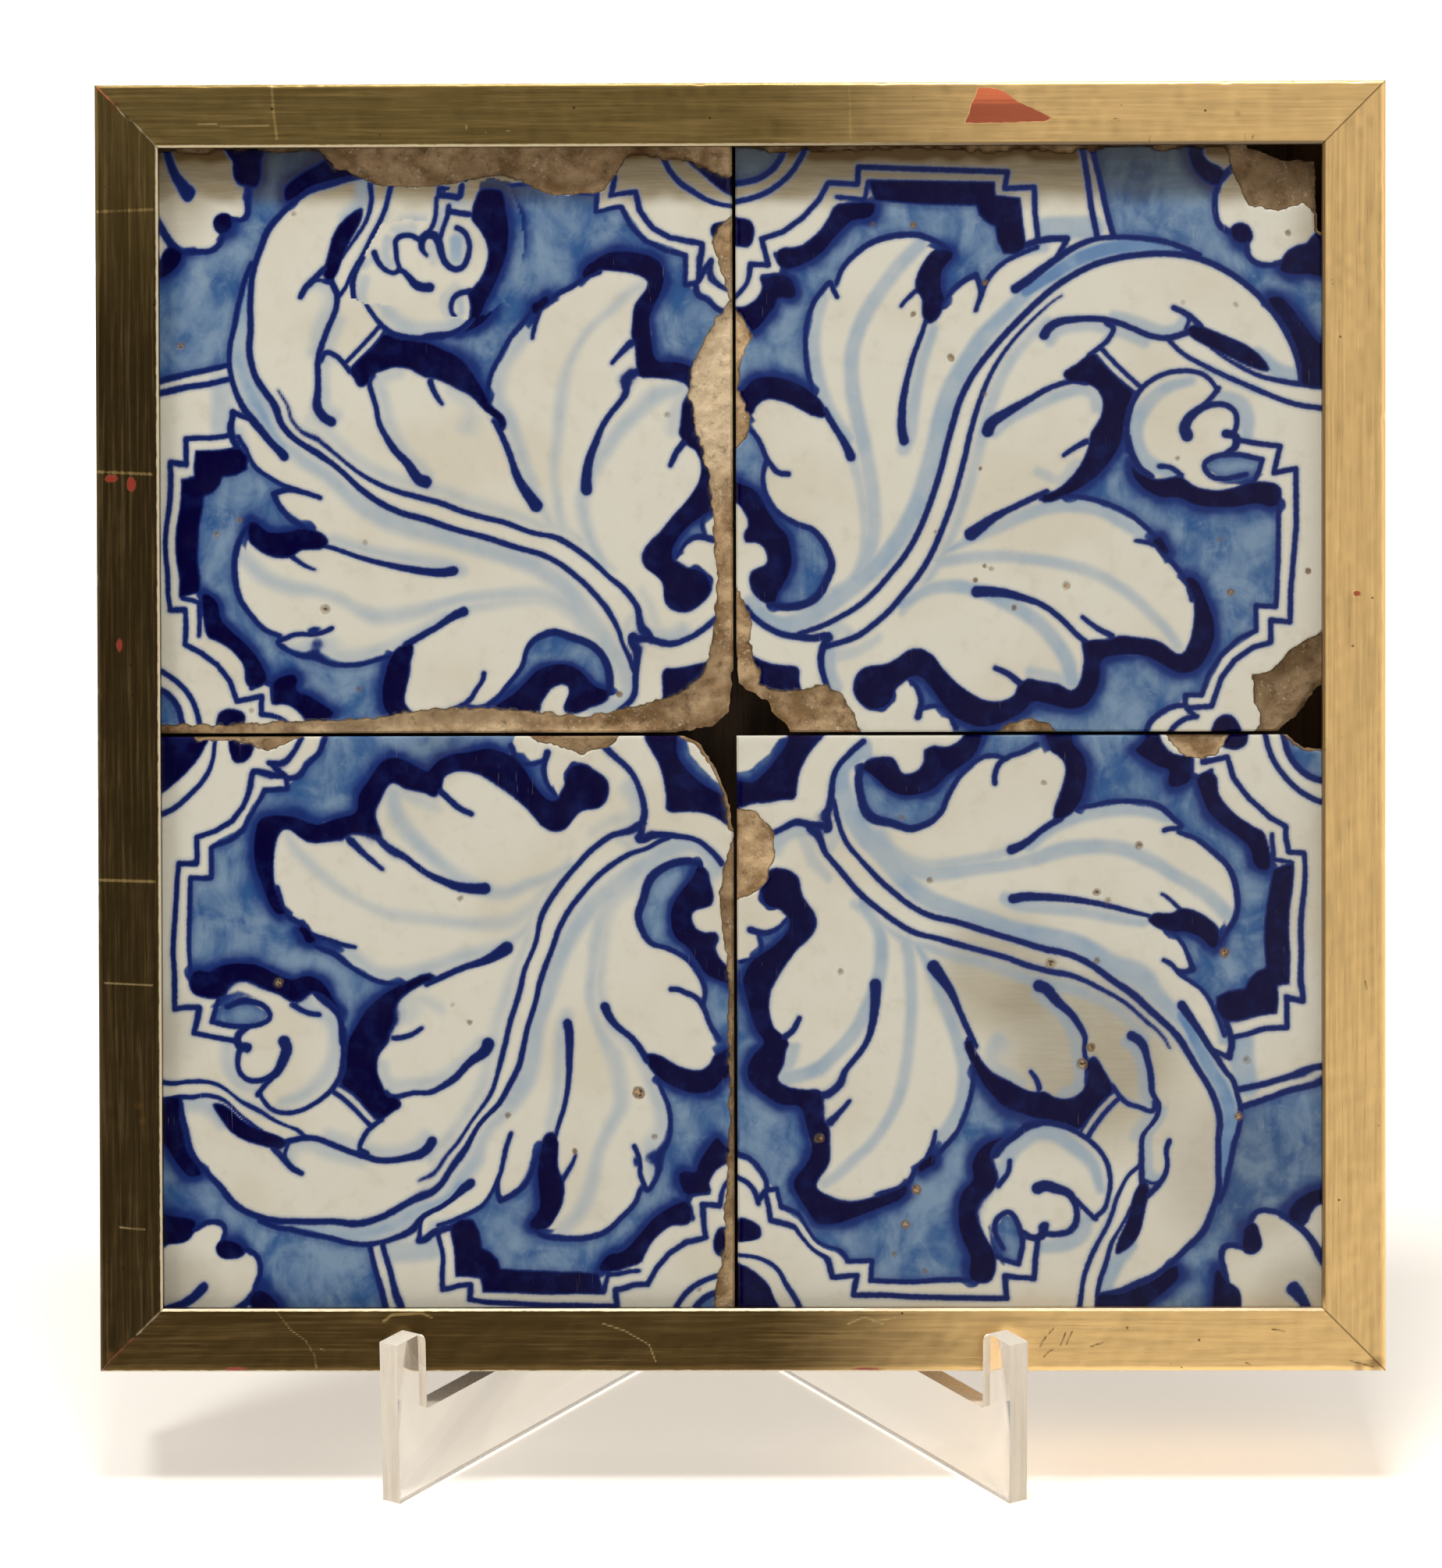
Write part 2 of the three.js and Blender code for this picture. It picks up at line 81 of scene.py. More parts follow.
CONTOURS: tuple[Stroke, ...] = (
    # corner medallion, two arcs
    ((1.6,), "-1,130 5.2,131.2 8.9,133.4 11.2,136.4 12.6,141"),
    ((1.4,), "-1,125.7 4.9,127 9.5,129.2 13.6,132.8 16.6,137.6 17.5,141"),
    # tall leaf: outline with its barb
    ((1.3, 1.3), "18.5,81.4 17.3,86.6 16.9,92 17.3,97.4 18.8,102 21.1,105.2 22.7,106.8 23.6,105 "
        "24.4,103.4"),
    ((1.2, 1.6, 1.5), "24.2,106.4 25.7,110.2 28.6,113.4 32.8,116.3 38,117.8 43.4,118 48,116.3 51.4,114.2"),
    # outline between the two left leaves
    ((1.8, 1.6, 2.4), "21.4,76.6 23.2,73.6 25.2,70.4 26.8,67.6 27.6,65.6"),
    # short leaf at the left, and its barb
    ((1.2, 1.5), "3.4,72.6 5.8,69.6 7.5,65.6 9.4,62.8 11,61.7 12.8,61.6"),
    ((1.2, 1.3, 1.6, 2.2, 2.0), "7.6,65 6.9,62 6.9,58.9 8.1,55 10.8,52 14.9,49.7 18.4,48.4 21,45.6 "
        "22.6,42.2 23,39.7 21.8,36.4 20,33.1 17.2,31 12.8,30.1 8.4,30.6"),
    # stem, lower left end
    ((1.5, 1.6, 2.0), "2.6,30 4.6,27.6 7.4,25.5 11,23.7 14.9,23 18.8,22.7 21.4,23.2 22.4,22.8"),
    # stem, its left edge, which runs on as the inner line of the horn
    ((1.3, 1.6, 1.6, 1.6), "15,23.6 20.3,25.4 24.9,27.6 29.5,30.4 33.4,33.8 37.2,38.2 40.4,42.2 43.4,47.4 "
        "45.7,52.8 47.6,58.2 49.2,63.5 50.4,68.4 51.8,73.5 53.4,78.7 56.1,84.2 59.5,89 63.4,93.6 67.2,97.6 "
        "71.3,101.6 75.7,105.4 80.3,108.4 84.9,110.7 90.3,112.3 95.7,113.1 101.1,113.4 106.5,113 "
        "111.1,111.8 115.7,109.7 120.3,106.7 124.9,102.6 128.8,97.8 131.8,92.4 133.4,88 134.2,83.5"),
    # stem, its right edge
    ((1.5, 1.5, 1.4, 0.6), "20.6,20.4 24.2,21.4 28.8,23 32.6,25.6 36.5,29 40.3,33.4 44.2,38.4 47.2,43.7 "
        "49.7,49.7 51.7,55.1 53.3,60.5 54.7,65.8 55.9,71.2 57.2,75.8 58.6,79.9 60.5,84.5 63.4,89.5 "
        "67.2,94.3 71.1,98.3 75,101.8 77.6,103.6"),
    ((2.0, 1.4, 1.3), "22.2,23.2 21,20.6 20.4,18 20.8,14.6 22,11 24,7 27,3 30,-1"),
    # second leaf from the left
    ((2.4, 1.5, 1.2), "40.2,69.4 39.7,72.6 39.9,78.2 41,84 42.5,89.5 44.3,94.3 45.4,97.6"),
    ((1.3, 1.0), "44,105.6 41.8,103.6 40.4,102.3 39.6,101.2"),
    ((1.2, 1.6), "49.2,101.6 51.6,104.8 54.6,107.2 57.3,108.5"),
    ((1.6, 1.2), "57.3,108.5 58.2,106 58.4,103.6 57.2,100.1"),
    ((1.2, 1.2), "58.6,103.6 59.8,107 62,109.8 64.9,112 68.8,113.8 71.8,115"),
    ((1.4, 1.8, 1.6), "66.4,114.6 71.8,116.4 75.4,117 78.9,117"),
    ((1.6, 1.1), "78.9,117 77.6,114.6 76,112.2"),
    ((2.4, 1.8, 1.3, 1.4, 1.4), "66.6,105.2 69.7,107.3 73,109.8 76.3,112.2 80.3,114.8 84.9,116.7 "
        "90.3,117.3 95.7,117.1 101.1,116.4 105.7,115 110.2,113"),
    # stalk above the horn
    ((1.5,), "81.8,141 82.8,136.6 83.8,130.5 84.6,124.3 86,117.6"),
    ((1.5,), "84.2,141 85.3,136.2 86.7,130.5 88.2,123.5 89.8,117.6"),
    # underside of the horn
    ((2.4, 1.6, 1.5, 1.5, 1.8), "73.4,94.2 74.6,96 77.2,97.4 81.8,98 86.5,98 90.3,97.3 94.2,95.8 98.8,93.9 "
        "102.8,93.5 106.5,94.5 110.3,95.9"),
    ((1.5,), "104.1,100.6 106.4,99.5 108.4,98.2 110.4,96.2"),
    ((1.0,), "107,99.2 107.6,97.6 106.8,95.4"),
    ((1.2, 1.4), "102.4,93.4 106.3,89.7 111.1,87 115.7,84.7 121.8,82 128,79.4 133,77.7 141,76.4"),
    ((0.9, 1.6), "113,91 118,87.6 123.4,84.8 128,83.5 131.8,82.8 136,82.2 141,81.8"),
    # double line from the horn to the bud
    ((1.3,), "88,97 89.8,95.8 88.6,93.2 86.4,91.2 84,89.4"),
    ((1.2,), "87,91 90.3,87.4 93.4,84.4 96.4,81.7"),
    ((0.9,), "85.7,89.3 89.5,85.1 93.8,81.4 95.4,80.3"),
    ((3.0, 1.5, 1.2), "60,71.6 61,73.6 64.6,76 69.8,79 74.4,81.6 79.6,83.2 83.6,82.8"),
    ((1.1, 1.6), "78,65.8 80.3,67.4 83.2,69"),
    # middle leaf
    ((3.2, 1.6, 1.5), "56,47.2 58.2,48.8 61.8,51.3 66.5,53.7 71.8,56.2 74,57.2"),
    ((1.4, 1.3, 1.3), "72.6,55.6 79.5,56.2 84.9,55.3 90.3,53.5 94.9,50.9 98.6,47.6 101,45"),
    ((1.0, 1.8), "95,45.6 98.4,45 101.8,43.8"),
    ((1.4, 1.5), "101.6,42.6 104.9,38.9 107.2,35.6 108.4,31.6"),
    ((1.1, 1.6), "82.4,27.5 85.7,25 89.4,23"),
    # lower leaf
    ((2.8, 1.5, 1.4), "57.4,33.6 60.3,33.6 64.2,33.2 68,32.2 71.8,30.9 74.9,29.1 78,26.5 80.5,23.9 "
        "83.4,21.4"),
    ((1.4, 1.8), "61.8,15.5 64.9,14 67.2,12.2 69.4,10.6"),
    # curl at the foot
    ((1.2, 1.8), "41.8,12.6 43.4,10.4 44.2,7.4 43.4,4"),
    ((1.0, 1.6), "44,5.8 47.2,6.6 50.3,5.6 52.4,1.4"),
    # bud
    ((1.9, 1.3, 1.2), "93.4,67 92.8,70.5 93.1,74.3 94.5,78.7 97.2,82.3 101.1,84.7 104.9,85.6 108.8,85.5 "
        "112.2,84 114.5,81"),
    ((1.3,), "114.7,81.6 112.8,79.2 110.4,77"),
    ((2.0, 1.6), "93,70 93.9,66.6 95.8,63 98.8,60.6"),
    ((1.3,), "100.6,63.2 103.4,62.8 105.9,61"),
    ((3.0, 1.5, 1.4), "107.2,70.4 106.6,72.2 107.6,74.4 109.9,76.5 113.2,77.7 116.3,77.6 118.6,75.8 "
        "118.9,73 118.2,70.8"),
    ((2.2, 1.6), "116.4,70.8 118.6,70.2 118.6,67.8 116.6,66.2"),
    ((1.4,), "118.8,60.6 115.7,60.1 112.8,60.8 111.3,62.9 112,64.5 115,65.7 119.6,65.8 125,64.6"),
    ((1.4,), "118.8,60.6 121.2,61.2"),
    ((1.3,), "125,64.6 124.2,62 123,59.5"),
    # flower in the outer corner
    ((1.5,), "114.6,129.8 113.9,127 113.9,123 114.8,120.2 116.6,118.6 118.6,118"),
    ((1.5,), "121.4,117 121.2,114.6 122.2,112.2 124.4,110.8 127.4,110.6 130.6,111.4"),
    ((1.9, 1.7), "114.9,130.4 116.6,132.4 119.2,134.8 122.4,138"),
    ((2.4, 1.5), "126.6,130.6 128.4,132.2 131.4,134 136,135 141,135"),
    # medallions that the right and lower edges cut
    ((1.4,), "141,18.6 134.6,16 129.4,11.2 126.4,6 124.6,-1"),
    ((1.4,), "96.9,-1 98.4,2.6 101.2,5 104,6.3 106.8,6.6"),
    ((1.4,), "102.6,-1 104.2,1.6 106.8,3.4 109.4,3.9"),
    ((1.2,), "-1,102.2 1.4,104.6 3,106.6 3.8,109.2"),
)

# the stepped double border: straight runs of the brush
BORDERS: tuple[Stroke, ...] = (
    ((1.4,), "6.6,117.2 11.6,118.8 16.4,122.2 20.2,126.4 22.4,130.4 29.3,130 29.5,134.1 45,133.5 "
        "64.8,132.8 64.1,128.9 71.1,129.2 71.3,123 72,116.8"),
    ((1.4,), "6.6,117.2 7.4,114 8.2,111 3.9,111.2 3.6,108.6"),
    ((1.3,), "9.9,113.6 11.2,111.4 12.2,108.8 6.8,108.2"),
    ((1.2,), "24.4,127 31,126.4 31.8,130.4"),
    ((1.4,), "118.6,69.4 123.6,68.5 129.2,67.8 128.4,64.6 127.7,61.5 132.9,62.5 133,49 131.7,34 131.5,26.2 "
        "126.9,26.7 127,21.4 122.6,20.2 118.4,17.2 115.2,13 113,6.3 107,5.9 109.2,3.8"),
    ((1.3,), "128.8,54 128.7,41 128.2,29.8 123.4,30.2 123.5,24.2 119.6,22.4 115.4,18.6 112.2,13.8 110.6,9 "
        "106.7,9 106.8,6.8"),
)

# dark fills
BANDS: tuple[Path, ...] = (
    # straight-edged: inside the border at the top
    "31.6,131.2 61.9,130.6 62.1,127.4 67.9,126.8 68.6,120 69.4,115 67,113.2 63.8,113.4 62.3,116.2 "
        "61.7,119.8 59.7,120.8 57.9,122.6 57.3,124.7 45,125 33.2,126",
)

FILLS: tuple[Path, ...] = (
    "24.6,125.4 33,125.9 33.5,123.2 31.6,121.6 28.2,121.1 24.9,118.1 21,113.6 17.2,111.2 12.6,109.7 "
        "10.3,111.2 9.8,113.5 11.4,115.1 15.7,115.6 20.1,119 22.6,122.6",
    "6.4,108.4 12.6,108.8 14.6,106.6 15,103.8 13.4,102.7 10.7,102.9 9.5,100.3 4.9,95.2 2.6,97 -1,98.6 "
        "-1,101 2.6,101.4 5.5,103.4 6.6,106",
    # sliver of the medallion at the left edge
    "-1,123 0.7,122.4 3.8,121.7 5,119 3.9,115.4 1.4,115.3 -1,116.4",
    # over the short leaf at the left
    "-1,80.6 1.8,81.6 4.6,84.4 9.5,84.9 14.9,83.4 18.4,81.2 21,78.4 22,75.6 21,74.8 18.4,75.3 13.4,77.9 "
        "9.5,79.1 7,78.9 5.1,77.2 4.1,75.4 -1,74",
    # scroll
    "-1,60.4 1.5,59.6 3.8,58.8 5.9,57.2 7,55.4 8.2,53.2 10.5,49.7 12.8,47.2 13.7,43.4 13.8,39.7 12.6,36.4 "
        "10.7,33.4 9.4,30.6 6.6,31.2 4.3,33.4 3.4,36.2 3.8,38.4 5.7,39.5 7.4,40.3 7.7,42 6.8,44.2 4.9,45.3 "
        "2.6,45.3 2.1,47.4 3,48.9 3,50.8 1.8,53.2 0.4,54.7 -1,55",
    # between the tall leaf and the second one
    "47.6,114.6 51.9,114.4 52,112.4 49.7,109.7 49.3,105.8 50,102.8 48.8,98.9 46.5,97 44.6,98.6 44.4,102.8 "
        "42.9,105.1 43.2,108.2 44.7,111.4",
    # inside the horn
    "106.8,95.2 108.4,96.6 110.3,96.5 114.2,94.9 118.8,93 122.2,91.2 125.2,88.6 126.8,85.9 125.2,85.5 "
        "121.8,86.6 117.2,88.8 112.6,91 108.8,93.1",
    # shadow outside the horn's tip
    "126.2,103 129.5,103.4 132.6,100.2 135.9,95.8 138.6,92.6 141,91 141,82.2 134.3,82 133.8,87 132.4,91.8 "
        "130,96.6 127,100.6",
    # ground between the leaves and the bud
    "77.8,85.2 81,87.5 84.9,89.9 88.4,86.7 92,83.2 94.6,80.6 93.4,77 92.6,73 92,69 90.2,65.6 88,62.6 "
        "85.7,60.3 82.6,58.1 79.5,56.4 75.7,54.9 73,54.6 72.4,56.3 75.7,57.5 78.8,59.8 81.8,63.5 83.6,67.4 "
        "84.3,71 86.7,75 87.1,78.9 85.3,81.7 81.8,83 79.5,82.9",
    # blobs at the ends of leaves
    "98.8,46 101.1,46.8 102.4,44.7 103.5,42.8 101.8,41.9 99.5,44.1",
    # shadow under the middle and lower leaves
    "106.3,36.6 108.2,37.3 110.3,35.5 112.2,31.2 113.8,26.6 113.8,22 112,17.6 109.5,14.7 105.7,13.8 "
        "102.6,15 100.1,16.6 96.5,18.1 91.8,18.2 87.4,17.2 86.9,13.5 86.1,10.3 83.4,6.5 79.5,5.4 74.9,6.4 "
        "71.1,7.2 68.8,5.1 65.7,3.2 61.8,1.7 58,1.2 54.2,2.4 51.1,4.3 48.8,7 46.5,10.3 44,13 41.5,13 "
        "39.6,11.7 38.2,10.4 37.7,8.6 36.6,6.8 34.6,5.7 32,5.6 29.5,7.3 28.2,9.3 28,11.4 28.8,14 31.1,15.9 "
        "35.7,16.6 38.8,18.2 41.1,19.8 44.2,20.2 47.2,18.4 49.5,15.3 52.6,12.1 56.5,9.3 59.5,7.9 63.4,7.8 "
        "66.2,9.2 66.9,11.2 69.5,13.1 71.8,12.6 76.5,11.8 79.6,10.2 81.2,11.4 82.2,14.3 82.6,18.2 "
        "82.2,21.4 84.9,22.2 88.8,22.4 91,23.2 94.9,22.8 100.3,21.9 105,18.8 107.2,20.5 108.6,25.8 "
        "108.6,31.2 107.2,34.3",
    # under the bud
    "93.6,64.2 96.3,61.7 100.3,60.2 104.9,60.9 107.2,59.8 109.5,58.3 114.2,57.5 118.8,58.3 121.8,59.4 "
        "125.7,59.5 128.8,58.7 129.6,56.6 129.2,54.2 127.2,53.1 123.4,53.9 118.8,53.2 112.6,53.1 "
        "108.8,53.8 104.9,55.4 101.1,55.4 97.2,57.3 94.3,60.5",
    # corner star
    "-1,22.4 1.2,21 5,18.2 9.5,16.6 15,15.8 15.4,12.4 16.8,6 19.4,-1 12,-1 11.6,4.4 7.6,9 2.4,12.6 "
        "-1,14.4",
    # flower in the outer corner
    "107.4,139 108,134.6 110.2,131.2 113.2,129.3 115.6,129.8 116.3,131.8 115.2,133.8 112.8,135 111.2,136.6 "
        "110.8,139",
    "117.2,118.8 118.3,120.3 120.4,120.7 122.2,119.5 122.9,117.4 122.2,115.8 120.2,115.4 118.1,116.4",
    "129,110.6 130.5,113.6 132.8,115.2 135.4,115.9 137,117.8 141,120.5 141,108.4 135.5,108.1 131.4,108.1 "
        "129.2,109",
    # hearts of the medallions at the right and lower edges
    "141,13.6 136.4,11.8 131.4,7 128.2,2.4 127.4,-1 141,-1",
    "113.2,-1 113.6,2.8 115.8,4.4 118.6,3.6 120,-1",
)

# areas of thin blue wash
WASHES: tuple[Path, ...] = (
    # round the tall leaf
    "-1,98 4.9,96 10.5,103.5 14,105 12.4,109.4 17.2,112 21,114.4 28,122 33,125.5 59,125.2 63.4,117 "
        "65.4,113.8 71.8,116.4 66,113 62,110 59.4,106 58.6,103.8 57.6,108.6 54.6,107.4 49.5,102 50,106 "
        "52,112.6 51.4,114.6 48,116.3 43.4,118 38,117.8 32.8,116.3 28.6,113.4 25.7,110.2 24.2,106 "
        "22.7,106.8 18.8,102 16.9,92 18.5,81.4 14.9,82.6 9.5,84 4.6,83.6 -1,80",
    # at the top right, round the flower
    "84.9,138 86.7,130.5 89.8,117.6 95.7,117.1 105.7,115 112,111.8 120.3,106.7 127,101.4 132,99 141,92 "
        "141,109.6 130.6,110.2 127.4,109.8 124,110 121.5,111.7 120.4,114.2 120.2,116.4 118.4,117 "
        "116.1,117.8 114.2,119.7 113.2,122.8 113.2,127.2 113.6,129.6 114,131 110.4,134.4 108,138 108,141 "
        "84.2,141",
    # right of the leaves
    "91.6,68.6 94.4,62 101,55.8 109,54 128.8,54 128.7,41 128.2,29.8 123.4,30.2 123.5,24.2 115.4,18.6 "
        "110.6,9 106.7,9 104,6.3 98.4,2.6 97.4,-1 51.6,-1 52.6,1.6 61.8,2 71,7 82,6.4 87,17 100,16.5 "
        "112,17 113.6,24 112,31 108.2,36 104.9,38.9 101,45 94.9,50.9 84.9,55.3 79,56.4 88,62",
    # scroll at the left
    "7.4,56 10.8,52 14.9,49.7 18.4,48.4 21,45.6 23,39.7 20,33.1 17.2,31 9.4,30.4 13,36.4 13.8,41 12.8,47",
    "-1,75 3.2,74 5.8,69.6 7.6,65 6.9,62 7,56.8 3.8,58.8 -1,60.4",
    # medallion at the top left
    "-1,130.6 5.2,131.4 8.9,133.6 11.2,136.4 12,141 -1,141",
    # inside the bud's curl
    "113,65 119.6,65.4 124.6,64.4 123.6,62 121,60.6 115.7,60.6 112.4,62.6",
    # curl at the foot
    "42.6,13.2 46.4,10.6 50.8,5.2 47.2,6.4 44.6,5.8 44.2,9",
    "32.4,10.4 34.6,10.6 36.6,8.8 34.6,6.8 32.2,7.4",
    "2.4,12.4 7.6,9 11.6,4.4 12.4,-1 10.6,-1 9.6,4 6,8",
)

# soft shading strokes in pale blue: (widths, strength, points)
SHADES: tuple[Shade, ...] = (
    ((3.4, 3.6, 3.4), 0.75, "44,115.6 39.5,111.2 35.4,105.8 31.8,100.5 29,94.3 27.8,88.2 28.2,80.5 "
        "29.7,72.8 31.2,66 32.4,59 33,52 32.8,46.6 31.2,41 28,35.8 24.2,33.5"),
    ((2.4, 2.6, 1.6), 0.6, "27.8,65.8 29.4,60.5 30.6,54.3 31,48.9 30.6,43.5 29,38.9"),
    ((2.8, 3.2, 2.6), 0.75, "21.2,103.5 19.4,97.4 18.9,91.2 19.8,85.1 21.8,78.6 24.6,73.4 27.2,70"),
    ((2.4, 2.8, 3.2), 0.75, "47.2,95.8 45.2,89.7 43.6,83.5 42.4,76.6 41.6,70.6 40.2,67.4"),
    ((3.2, 4.2, 4.6, 4.2, 4.2, 4.4, 4.2), 0.9, "72,107 65.7,100.7 59.5,94.3 55.7,88.9 51.6,82 49.3,75.3 "
        "47.8,69 45.9,62.3 43.6,55.1 40.4,48.6 36.7,43.2 32.2,38.4 27.2,34.2 21.8,30.4 17.2,27.4 11,25.8 "
        "6.4,28 4,31"),
    ((2.4, 3.2, 2.6), 0.5, "27,24 24.6,25 22.6,22.6"),
    ((2.2, 3, 2.4, 1.6), 0.6, "74,97.8 68,91.6 64,85.6 61.2,79 58.6,70 56.6,62 54.2,54 51.4,46.6 48.2,40 "
        "44,34 39.6,28.6"),
    ((2.8, 2.8, 2.4), 0.65, "48.6,40.6 55,41.6 63.4,42 70,41.3 75.7,40.5 83.4,38.6 89.5,35.6 94.9,31.8 "
        "98.8,28 102.6,24.1 105,20.6"),
    ((1.6, 3, 3.4, 3), 0.8, "50.6,43.4 56,46 61.8,48.4 67.2,51 72.6,53 79.5,54 86.3,53 91,50.6 94.4,48.4 "
        "97.2,46.6"),
    ((2.4, 3.2, 3.4, 3.6, 3.6), 0.85, "39.8,30.4 45.7,34 51.8,34.9 57.2,34 63.4,31.4 68.6,28.6 72.8,25.4 "
        "76.5,21 79,16.6 79.8,12.4"),
    ((3.4, 3.2), 0.7, "22.6,19 22.4,15 24,11"),
    ((3.2, 2), 0.45, "24,18.6 29,19.6 34,22.6"),
    ((1.6, 2.6, 2.6), 0.7, "61.8,70.6 65.2,74 71.4,77.4 76.5,79.8 81.8,81.2 84.9,80 85.8,77"),
    ((1.6, 2.4, 2.4), 0.55, "58.4,46.2 64.6,50 70.6,53"),
    ((2.2, 3.6, 3.8, 3), 0.8, "108.2,83.4 102.6,81.8 98.4,78.6 95.6,74.3 95,69.6 96.8,65.4 100.3,62.8 "
        "104.2,61"),
    ((2.2, 3.8, 3), 0.8, "114.8,80 119,78.6 121.3,75.2 121.4,70.6"),
    ((2.2,), 0.7, "74.8,92.6 77.2,95.2 83.4,96.2 88,95.6"),
    ((2, 2.8, 2.4), 0.7, "89.8,99 95.7,97.3 100.6,95.2 104.6,95.6 107,98.6"),
    ((2, 3), 0.6, "88,93 90.4,95 97,92.6"),
    ((2.6, 3.6, 4), 0.85, "124,90 128.4,85.8 133,84.2"),
    ((2.8, 3.9, 3.6, 2.4), 1.3, "69,104.4 74.6,108 80.4,111.6 86.4,114 93,115.2 101,114.9 107.6,113.8"),
    ((1.2, 2.6), 0.8, "69,113.6 73.4,115"),
    ((2.6, 2.6), 0.6, "70,14.6 75,13.6 79,12"),
    ((2.4, 2.4), 0.5, "72,62 77,60 81,64"),
    ((2.4,), 0.5, "111.4,86.6 117,84 124,81"),
    ((5.4,), 0.85, "74.2,119.4 79,119.6 85,119.6"),
)

